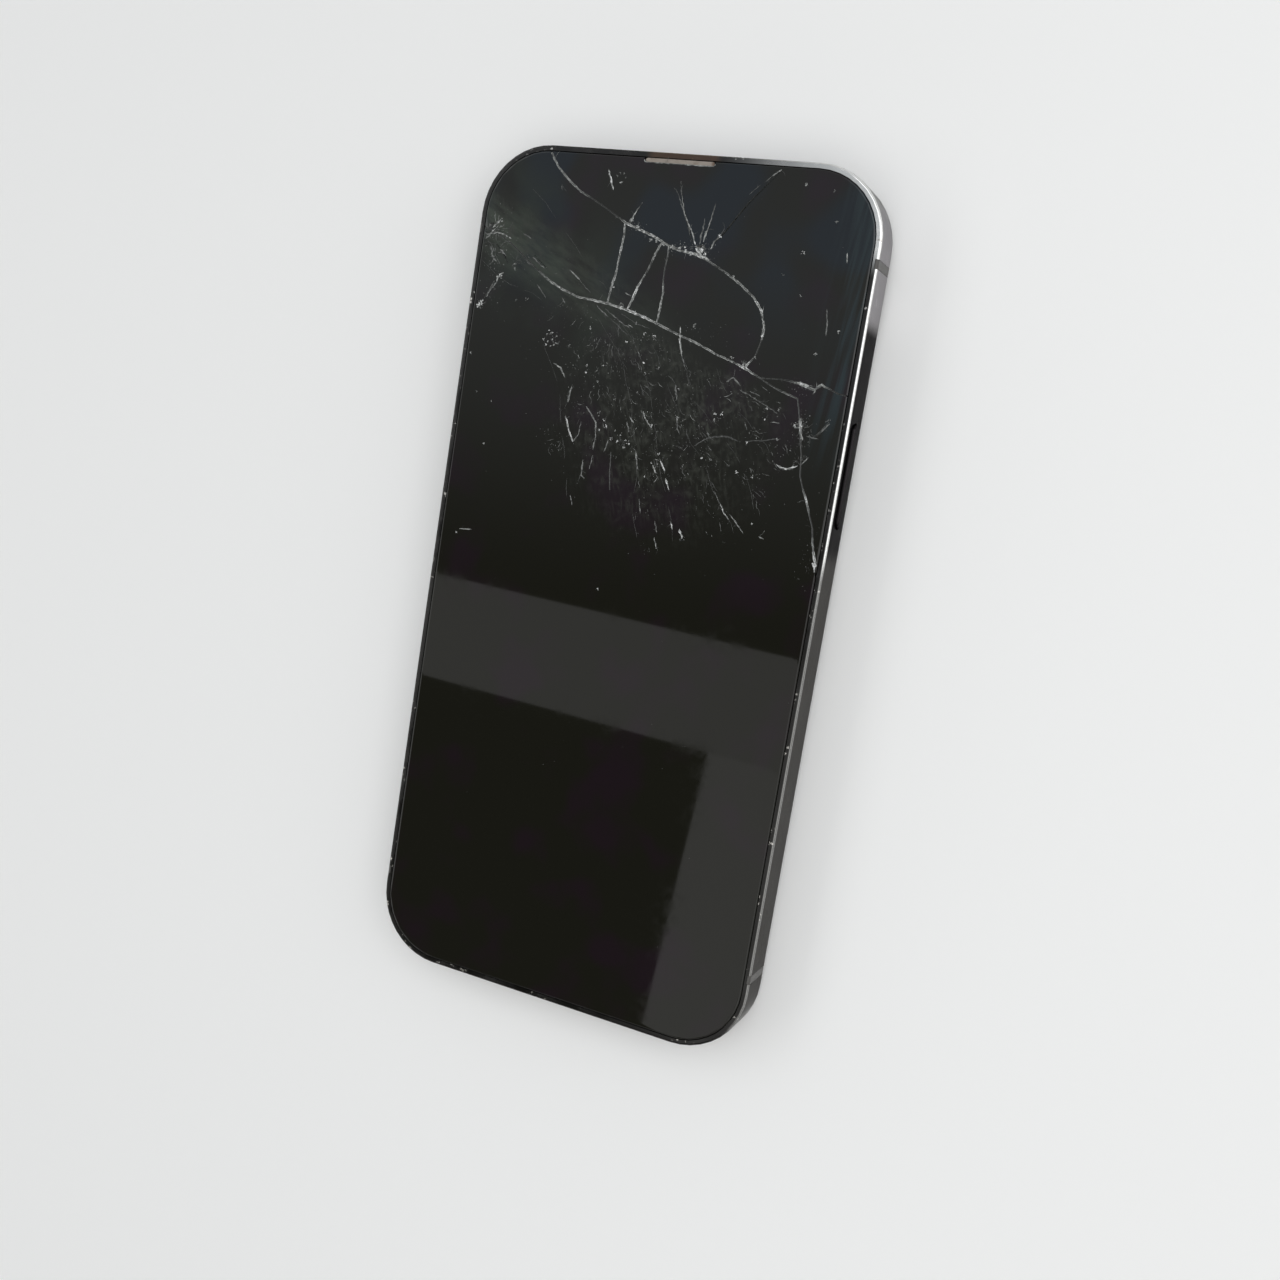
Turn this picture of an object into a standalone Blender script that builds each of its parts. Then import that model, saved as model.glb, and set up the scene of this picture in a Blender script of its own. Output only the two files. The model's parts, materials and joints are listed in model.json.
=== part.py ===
"""A touchscreen phone with a shattered cover glass, lying on its back.

+X is the side of the side button, +Y the earpiece end, +Z out of the screen.
The origin is under the middle of the phone, level with its rear lens rings.
"""

import math
import random

import bmesh
import bpy

MM = 0.001

# Body
BODY_WIDTH = 71.5 * MM
BODY_LENGTH = 146.0 * MM
BODY_THICKNESS = 7.65 * MM
CORNER_RADIUS = 12.0 * MM
CORNER_STEPS = 10
EDGE_RADIUS = 0.45 * MM
EDGE_STEPS = 3

# Layers, from the rear lens rings up to the cover glass
LENS_RING_PROUD = 0.5 * MM
ISLAND_PROUD = 0.9 * MM
BACK_GLASS_THICKNESS = 0.7 * MM
PLATE_THICKNESS = 0.5 * MM
BACKPLATE_THICKNESS = 0.2 * MM
PANEL_THICKNESS = 1.0 * MM
GASKET_THICKNESS = 0.2 * MM
DISPLAY_FRAME_THICKNESS = 0.5 * MM
COVER_GLASS_THICKNESS = 0.7 * MM
GLASS_PROUD = 0.15 * MM
GLASS_EDGE_RADIUS = 0.3 * MM
BOND_GAP = 0.1 * MM

# Walls, seen from the front
RIM_WIDTH = 0.95 * MM
FRAME_WALL = 2.6 * MM
FIT_GAP = 0.1 * MM
PART_GAP = 0.3 * MM

# Cracks in the cover glass
CRACK_GAP = 0.2 * MM
CRACK_STEP = 2.4 * MM
CRACK_JAG = 0.14 * MM
GROOVE_WIDTH = 0.3 * MM
GROOVE_DEPTH = 0.3 * MM
CHIP_DEPTH = 0.35 * MM
CHIP_CORNERS = 7

# Antenna breaks in the band
ANTENNA_FROM_END = 14.7 * MM
ANTENNA_WIDTH = 1.5 * MM
ANTENNA_DEPTH = 0.6 * MM
ANTENNA_GAP = 0.05 * MM

# Buttons on the long sides
BUTTON_HEIGHT = 2.7 * MM
BUTTON_PROUD = 0.4 * MM
BUTTON_TRAVEL = 0.3 * MM
BUTTON_FLANGE = 0.6 * MM
BUTTON_FLANGE_RIM = 0.6 * MM
SIDE_BUTTON_LENGTH = 17.0 * MM
SIDE_BUTTON_FROM_TOP = 47.5 * MM
VOLUME_BUTTON_LENGTH = 10.5 * MM
VOLUME_UP_FROM_TOP = 39.0 * MM
VOLUME_DOWN_FROM_TOP = 52.0 * MM
RING_SWITCH_LENGTH = 5.6 * MM
RING_SWITCH_HEIGHT = 1.7 * MM
RING_SWITCH_TRAVEL = 1.1 * MM
RING_SWITCH_FROM_TOP = 26.0 * MM
TACT_SWITCH_THICKNESS = 0.5 * MM
TACT_SWITCH_LENGTH = 3.2 * MM
TACT_SWITCH_HEIGHT = 1.8 * MM
BRACKET_THICKNESS = 0.35 * MM
BRACKET_HEIGHT = 2.6 * MM

# SIM tray on the left side
TRAY_FROM_TOP = 72.0 * MM
TRAY_FACE_LENGTH = 13.8 * MM
TRAY_FACE_HEIGHT = 2.0 * MM
TRAY_FACE_THICKNESS = 1.0 * MM
TRAY_WIDTH = 11.6 * MM
TRAY_DEPTH = 17.0 * MM
TRAY_THICKNESS = 0.9 * MM
CARD_LENGTH = 12.4 * MM
CARD_WIDTH = 8.9 * MM
CARD_FROM_END = 1.0 * MM
EJECT_HOLE_RADIUS = 0.4 * MM
EJECT_HOLE_FROM_END = 1.5 * MM
READER_WALL = 0.25 * MM
READER_GAP = 0.15 * MM

# Bottom edge
PORT_WIDTH = 8.9 * MM
PORT_HEIGHT = 3.2 * MM
PORT_WALL = 0.3 * MM
PORT_DEPTH = 7.3 * MM
PORT_RECESS = 0.5 * MM
TONGUE_WIDTH = 6.6 * MM
TONGUE_THICKNESS = 0.7 * MM
TONGUE_LENGTH = 4.6 * MM
BOTTOM_SCREW_FROM_MIDDLE = 7.6 * MM
BOTTOM_SCREW_RADIUS = 0.75 * MM
BOTTOM_SCREW_SHAFT_RADIUS = 0.5 * MM
BOTTOM_SCREW_HEAD = 0.9 * MM
BOTTOM_SCREW_LENGTH = 3.6 * MM
SOUND_HOLE_RADIUS = 0.75 * MM
SOUND_HOLE_FROM_MIDDLE = 12.0 * MM
SOUND_HOLES = 5
SOUND_MESH_THICKNESS = 0.25 * MM

# Earpiece slit at the top edge of the glass
EARPIECE_LENGTH = 12.4 * MM
EARPIECE_HEIGHT = 0.8 * MM
EARPIECE_MESH_THICKNESS = 0.45 * MM
EARPIECE_MESH_SUNK = 0.12 * MM

# Rear camera
ISLAND_WIDTH = 15.4 * MM
ISLAND_LENGTH = 31.0 * MM
ISLAND_FROM_SIDE = 12.2 * MM
ISLAND_FROM_TOP = 19.3 * MM
LENS_PITCH = 13.4 * MM
LENS_RING_RADIUS = 5.5 * MM
LENS_RING_WALL = 1.0 * MM
LENS_LEDGE = 0.5 * MM
LENS_COVER_THICKNESS = 0.6 * MM
LENS_COVER_SUNK = 0.25 * MM
LENS_BARREL_RADIUS = 3.6 * MM
CAMERA_BOX = 11.0 * MM
FLASH_RADIUS = 1.9 * MM
FLASH_FROM_ISLAND = 5.0 * MM
FLASH_HOLE_RADIUS = 1.4 * MM

# Inside
COIL_HOLE_RADIUS = 9.5 * MM
MAGNET_RING_RADIUS = 27.0 * MM
MAGNET_RING_WIDTH = 3.2 * MM
COIL_CLEARANCE = 2.3 * MM
COIL_BELOW_MIDDLE = 3.0 * MM
FERRITE_THICKNESS = 0.15 * MM
FLOOR_CLEARANCE = 0.4 * MM
CEILING_CLEARANCE = 0.25 * MM
SIDE_ROOM = 2.25 * MM
BOARD_WIDTH = 22.5 * MM
BOARD_THICKNESS = 0.7 * MM
BOARD_FROM_TOP = 17.0 * MM
SHIELD_HEIGHT = 1.4 * MM
SHIELD_MARGIN = 1.2 * MM
BOTTOM_ZONE = 27.0 * MM
BATTERY_CORNER = 1.5 * MM
HAPTIC_LENGTH = 24.0 * MM
HAPTIC_WIDTH = 11.0 * MM
HAPTIC_FROM_BOTTOM = 11.0 * MM
SPEAKER_WIDTH = 20.0 * MM
SPEAKER_LENGTH = 18.0 * MM
SPEAKER_FROM_BOTTOM = 6.5 * MM
EAR_SPEAKER_WIDTH = 13.0 * MM
EAR_SPEAKER_LENGTH = 8.5 * MM
FRONT_CAMERA_BOX = 6.0 * MM
FRONT_CAMERA_LENS_RADIUS = 1.6 * MM
SENSOR_WIDTH = 5.0 * MM
NOTCH_LENGTH = 27.0 * MM
NOTCH_DEPTH = 5.2 * MM
FLEX_THICKNESS = 0.15 * MM
DISPLAY_FLEX_WIDTH = 9.0 * MM
DISPLAY_FLEX_RUN = 13.0 * MM
PORT_FLEX_WIDTH = 10.0 * MM
BOARD_SCREW_RADIUS = 0.9 * MM
BOARD_SCREW_SHAFT_RADIUS = 0.5 * MM
BOARD_SCREW_HEAD = 0.5 * MM
BOARD_SCREW_FROM_EDGE = 2.0 * MM

# Levels that follow from the layers
Z_BACK = LENS_RING_PROUD + ISLAND_PROUD
Z_BACK_INNER = Z_BACK + BACK_GLASS_THICKNESS
Z_PLATE = Z_BACK_INNER + BOND_GAP
Z_FLOOR = Z_PLATE + PLATE_THICKNESS
Z_FRONT = Z_BACK + BODY_THICKNESS
Z_GLASS = Z_FRONT - COVER_GLASS_THICKNESS
Z_PANEL_TOP = Z_GLASS - BOND_GAP
Z_PANEL = Z_PANEL_TOP - PANEL_THICKNESS
Z_BACKPLATE_TOP = Z_PANEL - BOND_GAP
Z_BACKPLATE = Z_BACKPLATE_TOP - BACKPLATE_THICKNESS
Z_DISPLAY_FRAME = Z_PANEL_TOP - DISPLAY_FRAME_THICKNESS
Z_GASKET_TOP = Z_DISPLAY_FRAME - BOND_GAP
Z_GASKET = Z_GASKET_TOP - GASKET_THICKNESS
Z_LEDGE = Z_GASKET - BOND_GAP
Z_BAND_LOW = Z_BACK + GLASS_PROUD
Z_BAND_HIGH = Z_FRONT - GLASS_PROUD
Z_MIDDLE = (Z_BAND_LOW + Z_BAND_HIGH) / 2
Z_COMPONENTS = Z_FLOOR + FLOOR_CLEARANCE
Z_CEILING = Z_BACKPLATE - CEILING_CLEARANCE
Z_BOARD_TOP = Z_COMPONENTS + BOARD_THICKNESS
Z_SHIELD_TOP = Z_BOARD_TOP + BOND_GAP + SHIELD_HEIGHT

# Places that follow from the body
RIGHT = BODY_WIDTH / 2
TOP = BODY_LENGTH / 2
GLASS_INSET = RIM_WIDTH + FIT_GAP
PANEL_INSET = FRAME_WALL + PART_GAP
CAVITY_RIGHT = RIGHT - FRAME_WALL
CAVITY_TOP = TOP - FRAME_WALL
SIDE_LIMIT = CAVITY_RIGHT - SIDE_ROOM
BOARD_RIGHT = -SIDE_LIMIT + BOARD_WIDTH
BOARD_LOW = -CAVITY_TOP + BOTTOM_ZONE
BOARD_HIGH = TOP - BOARD_FROM_TOP
ISLAND_X = RIGHT - ISLAND_FROM_SIDE
ISLAND_Y = TOP - ISLAND_FROM_TOP
LENS_PLACES = {
    "upper": (ISLAND_X, ISLAND_Y + LENS_PITCH / 2),
    "lower": (ISLAND_X, ISLAND_Y - LENS_PITCH / 2),
}
FLASH_X = ISLAND_X - ISLAND_WIDTH / 2 - FLASH_FROM_ISLAND
FLASH_Y = ISLAND_Y + LENS_PITCH / 2
COIL_Y = -COIL_BELOW_MIDDLE
COIL_RADIUS = MAGNET_RING_RADIUS - MAGNET_RING_WIDTH - COIL_CLEARANCE
TRAY_Y = TOP - TRAY_FROM_TOP
TRAY_Z = Z_BOARD_TOP + BOND_GAP + READER_WALL + READER_GAP + TRAY_THICKNESS / 2
SLIT_TOP = TOP - GLASS_INSET
SOUND_HOLE_PITCH = (RIGHT - CORNER_RADIUS - SOUND_HOLE_FROM_MIDDLE) / (SOUND_HOLES - 0.5)
SLIT_LOW = SLIT_TOP - EARPIECE_HEIGHT

# The cracks that part the glass, as (millimetres right of the middle, millimetres below the
# top edge). Each runs between junctions, and those that leave the glass end well outside it.
CRACKS = {
    "diagonal_start": [(-60, 3), (-35.4, 14.3), (-32.5, 15.2), (-29.5, 16.6), (-25, 19.6),
                       (-20.5, 22.5), (-17.5, 23.8), (-14.5, 24.7), (-12, 24.9), (-9, 25.2)],
    "diagonal_1": [(-9, 25.2), (-5.2, 25.9)],
    "diagonal_2": [(-5.2, 25.9), (-2, 26.7), (0.5, 27.5)],
    "diagonal_3": [(0.5, 27.5), (5, 29), (10, 30.6), (14, 31.9), (17, 32.9)],
    "diagonal_4": [(17, 32.9), (20, 34.2)],
    "diagonal_5": [(20, 34.2), (23.5, 35.7), (26.7, 36.6), (27.6, 39.6), (28.1, 41.6),
                   (28.9, 45.2), (29.3, 48.6), (31.1, 52.4), (32.8, 56.4), (33.6, 60),
                   (34.6, 63.6), (36.5, 68), (48, 88)],
    "top_1": [(-30, -14), (-24.3, 0.4), (-22, 3.6), (-20, 5.3), (-17, 7.4), (-13, 9.2), (-8, 11.8)],
    "top_2": [(-8, 11.8), (-5, 12.8), (-0.8, 14.3)],
    "top_3": [(-0.8, 14.3), (0.5, 14.9)],
    "top_4": [(0.5, 14.9), (2.5, 15.5), (5.3, 15.8)],
    "arc": [(5.3, 15.8), (7.8, 16.7), (11, 18.2), (14, 19.9), (16.6, 21.7), (18.2, 23.6),
            (19.1, 26), (19.1, 28.2), (18.5, 30.8), (17, 32.9)],
    "link_1": [(-8, 11.8), (-8, 16), (-8.3, 20.4), (-9, 25.2)],
    "link_2": [(-0.8, 14.3), (-2.4, 18.6), (-3.9, 21.9), (-5.2, 25.9)],
    "link_3": [(0.5, 14.9), (0.4, 18.5), (0.8, 22.4), (0.5, 27.5)],
    "right_link": [(20, 34.2), (23.5, 33.9), (26.5, 34.2), (29.1, 34.9), (30.3, 34),
                   (33, 35), (60, 38)],
}

# Each piece of glass is the loop of cracks round it, anticlockwise: a minus sign means the
# crack is followed backwards, and a pair of numbers is a corner well outside the glass.
GLASS_PIECES = {
    "cover_glass_lower": ["diagonal_start", "diagonal_1", "diagonal_2", "diagonal_3",
                          "diagonal_4", "diagonal_5", (60, 240), (-60, 240)],
    "cover_glass_upper": ["-top_1", (60, -40), "-right_link", "-diagonal_4", "-arc", "-top_4",
                          "-top_3", "-top_2"],
    "cover_glass_upper_left": ["diagonal_start", "-link_1", "-top_1", (-60, -40)],
    "cover_glass_right": ["right_link", "-diagonal_5"],
    "glass_shard_left": ["diagonal_1", "-link_2", "-top_2", "link_1"],
    "glass_shard_middle": ["diagonal_2", "-link_3", "-top_3", "link_2"],
    "glass_shard_arc": ["diagonal_3", "-arc", "-top_4", "link_3"],
}

# Cracks that die out inside one piece of glass, in the same measure
GROOVES = [
    [(4.9, 29.6), (5.4, 31), (6.2, 32.7), (7.6, 34.5)],
    [(4.6, 14.4), (3.4, 11.6), (2.1, 9), (0.8, 4.6)],
    [(6.3, 14.2), (6.9, 11.6), (7.5, 7.8)],
    [(7.6, 14.6), (9.8, 12), (13, 7.2), (17.6, 1.8)],
    [(-7.3, 11.4), (-6.3, 10), (-5.5, 8.4)],
    [(-12.5, 3.6), (-11.3, 6.9)],
    [(-16.9, 20.4), (-14.4, 22.2)],
    [(-24.2, 18.4), (-21.4, 20.4)],
    [(-31.8, 17.2), (-29.8, 19.2), (-29, 20.4)],
    [(-29.8, 22.2), (-31.1, 23.6), (-32.9, 27.2)],
    [(-17.2, 36.2), (-15.9, 36.8), (-14.8, 38.2)],
    [(-13.8, 39.8), (-13.5, 42), (-13.9, 43.4)],
    [(-13.6, 44.8), (-12.6, 46.8), (-11.2, 49.1)],
    [(-9.8, 42.6), (-7.9, 44.7), (-7.2, 47.8)],
    [(-9, 51.6), (-8.8, 53.4), (-9.4, 55.6)],
    [(5, 49.5), (6.2, 51.5)],
    [(3.6, 50.2), (4.8, 52.1)],
    [(6.5, 52.6), (7.5, 54.3)],
    [(0.6, 49.6), (1.2, 52)],
    [(8.6, 59.2), (9.3, 60.8)],
    [(10.4, 60.3), (11.5, 61.8)],
    [(16.8, 55), (18.5, 57.2)],
    [(24.4, 46.9), (25.2, 47.7), (26.7, 47.9), (28, 47.2)],
    [(30.3, 42.2), (31.4, 41.2), (32.6, 39.2)],
]

# Places where a flake of glass has sprung out: (right, below the top edge, radius), in mm
CHIPS = [(6.1, 14.9, 0.9), (-33.2, 14.2, 0.7), (27.2, 40.8, 0.5), (-33, 28.1, 0.5),
         (-6.4, 25.2, 0.5), (16.9, 32, 0.5), (31.9, 3.6, 0.8), (11, 61.9, 0.4)]


def clear_scene():
    for item in list(bpy.data.objects):
        bpy.data.objects.remove(item)


def material(name, colour, roughness, metallic=0.0):
    made = bpy.data.materials.new(name)
    made.use_nodes = True
    shader = made.node_tree.nodes["Principled BSDF"]
    shader.inputs["Base Color"].default_value = (*colour, 1.0)
    shader.inputs["Roughness"].default_value = roughness
    shader.inputs["Metallic"].default_value = metallic
    made.diffuse_color = (*colour, 1.0)
    return made


def rounded_outline(width, height, radius, centre=(0.0, 0.0), steps=6):
    """Corners of a rounded rectangle, anticlockwise."""
    radius = min(radius, width / 2, height / 2)
    points = []
    for quarter, (sx, sy) in enumerate([(1, 1), (-1, 1), (-1, -1), (1, -1)]):
        cx = centre[0] + sx * (width / 2 - radius)
        cy = centre[1] + sy * (height / 2 - radius)
        for step in range(steps + 1):
            angle = math.radians(90 * (quarter + step / steps))
            points.append((cx + radius * math.cos(angle), cy + radius * math.sin(angle)))
    return without_repeats(points)


def without_repeats(points, closest=1e-6):
    return [p for i, p in enumerate(points) if math.dist(p, points[i - 1]) > closest]


def circle(radius, centre=(0.0, 0.0), steps=24):
    return [(centre[0] + radius * math.cos(2 * math.pi * i / steps),
             centre[1] + radius * math.sin(2 * math.pi * i / steps)) for i in range(steps)]


def body_contour(inset, z):
    """The phone's outline, that far inside its outer wall, as points at one height."""
    outline = rounded_outline(BODY_WIDTH - 2 * inset, BODY_LENGTH - 2 * inset,
                              CORNER_RADIUS - inset, steps=CORNER_STEPS)
    return [(x, y, z) for x, y in outline]


def placed(outline, axis, along):
    """Points of a flat outline stood across an axis: (y, z) for X, (x, z) for Y, (x, y) for Z."""
    if axis == "X":
        return [(along, a, b) for a, b in outline]
    if axis == "Y":
        return [(a, along, b) for a, b in outline]
    return [(a, b, along) for a, b in outline]


def add_loft(bm, rings):
    """One closed solid through rings of equally many points, capped at both ends."""
    loops = [[bm.verts.new(point) for point in ring] for ring in rings]
    count = len(loops[0])
    faces = [bm.faces.new(loops[0]), bm.faces.new(loops[-1])]
    for lower, upper in zip(loops, loops[1:]):
        for i in range(count):
            j = (i + 1) % count
            faces.append(bm.faces.new((lower[i], lower[j], upper[j], upper[i])))
    bmesh.ops.recalc_face_normals(bm, faces=faces)


def add_ring_loft(bm, rings):
    """One closed solid like a hoop: the last ring joins the first."""
    loops = [[bm.verts.new(point) for point in ring] for ring in rings]
    count = len(loops[0])
    faces = []
    for k, lower in enumerate(loops):
        upper = loops[(k + 1) % len(loops)]
        for i in range(count):
            j = (i + 1) % count
            faces.append(bm.faces.new((lower[i], lower[j], upper[j], upper[i])))
    bmesh.ops.recalc_face_normals(bm, faces=faces)


def add_prism(bm, outline, start, end, axis="Z"):
    add_loft(bm, [placed(outline, axis, start), placed(outline, axis, end)])


def add_box(bm, low, high):
    outline = [(low[0], low[1]), (high[0], low[1]), (high[0], high[1]), (low[0], high[1])]
    add_prism(bm, outline, low[2], high[2])


def add_turned(bm, profile, centre, steps=32):
    """A round solid about an upright axis. The profile is (radius, z) pairs and is closed."""
    rings = []
    for step in range(steps):
        angle = 2 * math.pi * step / steps
        rings.append([(centre[0] + r * math.cos(angle), centre[1] + r * math.sin(angle), z)
                      for r, z in profile])
    add_ring_loft(bm, rings)


def finished(name, bm, made_of, smooth_angle=30.0):
    """Turns the mesh under construction into a named object."""
    mesh = bpy.data.meshes.new(name)
    bm.to_mesh(mesh)
    bm.free()
    mesh.materials.append(made_of)
    mesh.shade_smooth()
    mesh.set_sharp_from_angle(angle=math.radians(smooth_angle))
    made = bpy.data.objects.new(name, mesh)
    bpy.context.scene.collection.objects.link(made)
    return made


def cutter(name, bm):
    mesh = bpy.data.meshes.new(name)
    bm.to_mesh(mesh)
    bm.free()
    made = bpy.data.objects.new(name, mesh)
    bpy.context.scene.collection.objects.link(made)
    made.hide_render = True
    made.display_type = "WIRE"
    return made


def boolean(target, tool, operation="DIFFERENCE", crosses_itself=False):
    modifier = target.modifiers.new(f"{operation.lower()}_{tool.name}", "BOOLEAN")
    modifier.operation = operation
    modifier.solver = "EXACT"
    modifier.object = tool
    modifier.use_self = crosses_itself


def solid_prism(name, outline, start, end, made_of, axis="Z"):
    bm = bmesh.new()
    add_prism(bm, outline, start, end, axis)
    return finished(name, bm, made_of)


def hoop(name, outer_inset, inner_inset, low, high, made_of):
    """A flat ring that follows the phone's outline."""
    bm = bmesh.new()
    corners = [(outer_inset, low), (outer_inset, high), (inner_inset, high), (inner_inset, low)]
    add_ring_loft(bm, [body_contour(inset, z) for inset, z in corners])
    return finished(name, bm, made_of)


def rounding(inset, z, turn_up):
    """(inset, z) pairs round the band's outer edge, starting or ending on its flat side."""
    pairs = []
    for step in range(EDGE_STEPS + 1):
        angle = math.radians(90 * step / EDGE_STEPS)
        if turn_up:
            pairs.append((inset + EDGE_RADIUS * (1 - math.sin(angle)),
                          z + EDGE_RADIUS * (1 - math.cos(angle))))
        else:
            pairs.append((inset + EDGE_RADIUS * (1 - math.cos(angle)),
                          z - EDGE_RADIUS * (1 - math.sin(angle))))
    return pairs


def screw_places():
    """Where the three board screws stand."""
    left = -SIDE_LIMIT + BOARD_SCREW_FROM_EDGE
    right = BOARD_RIGHT - BOARD_SCREW_FROM_EDGE
    return [(right, BOARD_HIGH - BOARD_SCREW_FROM_EDGE),
            (left, BOARD_LOW + BOARD_SCREW_FROM_EDGE),
            (right, BOARD_LOW + BOARD_SCREW_FROM_EDGE)]


def sound_hole_places():
    return [side * (SOUND_HOLE_FROM_MIDDLE + i * SOUND_HOLE_PITCH)
            for side in (-1, 1) for i in range(SOUND_HOLES)]


def button_outline(length, height, y, z, grow=0.0):
    return rounded_outline(length + 2 * grow, height + 2 * grow, height / 2 + grow, (y, z), 5)


def make_frame(metal):
    """The band with the plate across its back: one milled piece with all its openings."""
    bm = bmesh.new()
    section = [(RIM_WIDTH, Z_PLATE), (RIM_WIDTH, Z_BAND_LOW)]
    section += rounding(0, Z_BAND_LOW, turn_up=True)
    section += rounding(0, Z_BAND_HIGH, turn_up=False)
    section += [(RIM_WIDTH, Z_BAND_HIGH), (RIM_WIDTH, Z_LEDGE), (FRAME_WALL, Z_LEDGE),
                (FRAME_WALL, Z_FLOOR)]
    add_loft(bm, [body_contour(inset, z) for inset, z in section])
    frame = finished("frame", bm, metal)

    sides = bmesh.new()
    outside = RIGHT + BUTTON_PROUD
    inside = CAVITY_RIGHT - PART_GAP
    add_prism(sides, button_outline(SIDE_BUTTON_LENGTH, BUTTON_HEIGHT, TOP - SIDE_BUTTON_FROM_TOP,
                                    Z_MIDDLE, FIT_GAP), inside, outside, "X")
    for from_top in (VOLUME_UP_FROM_TOP, VOLUME_DOWN_FROM_TOP):
        add_prism(sides, button_outline(VOLUME_BUTTON_LENGTH, BUTTON_HEIGHT, TOP - from_top,
                                        Z_MIDDLE, FIT_GAP), -outside, -inside, "X")
    slot_height = RING_SWITCH_HEIGHT + RING_SWITCH_TRAVEL + 2 * FIT_GAP
    add_prism(sides, rounded_outline(RING_SWITCH_LENGTH + 2 * FIT_GAP, slot_height,
                                     RING_SWITCH_HEIGHT / 2 + FIT_GAP,
                                     (TOP - RING_SWITCH_FROM_TOP, Z_MIDDLE), 5),
              -outside, -inside, "X")
    add_loft(sides, tray_slot_rings(-outside, -inside))
    boolean(frame, cutter("side_openings", sides))

    bottom = bmesh.new()
    low, high = -TOP - PART_GAP, -CAVITY_TOP + PART_GAP
    add_prism(bottom, rounded_outline(PORT_WIDTH + 2 * FIT_GAP, PORT_HEIGHT + 2 * FIT_GAP,
                                      PORT_HEIGHT, (0, Z_MIDDLE)), low, high, "Y")
    for side in (-1, 1):
        add_prism(bottom, circle(BOTTOM_SCREW_RADIUS + FIT_GAP,
                                 (side * BOTTOM_SCREW_FROM_MIDDLE, Z_MIDDLE), 16), low, high, "Y")
    for x in sound_hole_places():
        add_prism(bottom, circle(SOUND_HOLE_RADIUS, (x, Z_MIDDLE), 12), low, high, "Y")
    boolean(frame, cutter("bottom_openings", bottom))

    plate = bmesh.new()
    low, high = Z_PLATE - PART_GAP, Z_FLOOR + PART_GAP
    add_prism(plate, circle(MAGNET_RING_RADIUS + PART_GAP, (0, COIL_Y), 48), low, high)
    for place in LENS_PLACES.values():
        add_prism(plate, circle(LENS_BARREL_RADIUS + PART_GAP, place), low, high)
    add_prism(plate, circle(FLASH_HOLE_RADIUS, (FLASH_X, FLASH_Y), 16), low, high)
    for place in screw_places():
        add_prism(plate, circle(BOARD_SCREW_SHAFT_RADIUS + FIT_GAP, place, 12), low, high)
    boolean(frame, cutter("plate_openings", plate))

    breaks = bmesh.new()
    for side in (-1, 1):
        for end in (-1, 1):
            y = end * (TOP - ANTENNA_FROM_END)
            near, far = sorted((side * (RIGHT - ANTENNA_DEPTH), side * (RIGHT + PART_GAP)))
            add_box(breaks, (near, y - ANTENNA_WIDTH / 2, Z_BAND_LOW - PART_GAP),
                    (far, y + ANTENNA_WIDTH / 2, Z_BAND_HIGH + PART_GAP))
    boolean(frame, cutter("antenna_breaks", breaks))


def tray_slot_rings(outer, inner):
    """The SIM tray's slot: a recess for its face, and a narrower slot behind it."""
    step = -RIGHT + TRAY_FACE_THICKNESS + FIT_GAP
    face = rounded_outline(TRAY_FACE_LENGTH + 2 * FIT_GAP, TRAY_FACE_HEIGHT + 2 * FIT_GAP,
                           TRAY_FACE_HEIGHT, (TRAY_Y, TRAY_Z))
    slot = rounded_outline(TRAY_WIDTH + 2 * FIT_GAP, TRAY_THICKNESS + 2 * FIT_GAP,
                           TRAY_THICKNESS, (TRAY_Y, TRAY_Z))
    return [placed(face, "X", outer), placed(face, "X", step), placed(slot, "X", step),
            placed(slot, "X", inner)]


def make_antenna_bands(plastic):
    """Four plastic inserts that fill the breaks in the band, flush with its outside."""
    for side, side_name in ((-1, "left"), (1, "right")):
        for end, end_name in ((1, "upper"), (-1, "lower")):
            section = [(ANTENNA_DEPTH - ANTENNA_GAP, Z_BAND_LOW)]
            section += rounding(0, Z_BAND_LOW, turn_up=True)
            section += rounding(0, Z_BAND_HIGH, turn_up=False)
            section.append((ANTENNA_DEPTH - ANTENNA_GAP, Z_BAND_HIGH))
            outline = [(side * (RIGHT - inset), z) for inset, z in section]
            y = end * (TOP - ANTENNA_FROM_END)
            half = ANTENNA_WIDTH / 2 - ANTENNA_GAP
            solid_prism(f"antenna_band_{end_name}_{side_name}", outline, y - half, y + half,
                        plastic, "Y")


def measured(point):
    """A (right, below the top edge) pair in millimetres as a place on the phone."""
    return (point[0] * MM, TOP - point[1] * MM)


def jagged(name, points):
    """A crack's line with the small random kinks of broken glass between its points."""
    chance = random.Random(name)
    line = [points[0]]
    for a, b in zip(points, points[1:]):
        length = math.dist(a, b)
        pieces = max(1, round(length / CRACK_STEP)) if length < 10 * CRACK_STEP else 1
        for i in range(1, pieces):
            share = i / pieces
            off = chance.uniform(-CRACK_JAG, CRACK_JAG) / length
            line.append((a[0] + (b[0] - a[0]) * share - (b[1] - a[1]) * off,
                         a[1] + (b[1] - a[1]) * share + (b[0] - a[0]) * off))
        line.append(b)
    return line


def piece_outline(loop):
    """The corners of one piece of glass, drawn in from the middle of each crack."""
    lines = {name: jagged(name, [measured(p) for p in points]) for name, points in CRACKS.items()}
    corners = []
    for part in loop:
        if isinstance(part, tuple):
            corners.append(measured(part))
        elif part.startswith("-"):
            corners += lines[part[1:]][::-1]
        else:
            corners += lines[part]
    corners = without_repeats(corners)
    if sum(a[0] * b[1] - b[0] * a[1] for a, b in zip(corners, corners[1:] + corners[:1])) < 0:
        corners.reverse()
    return drawn_in(corners, CRACK_GAP / 2)


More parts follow.
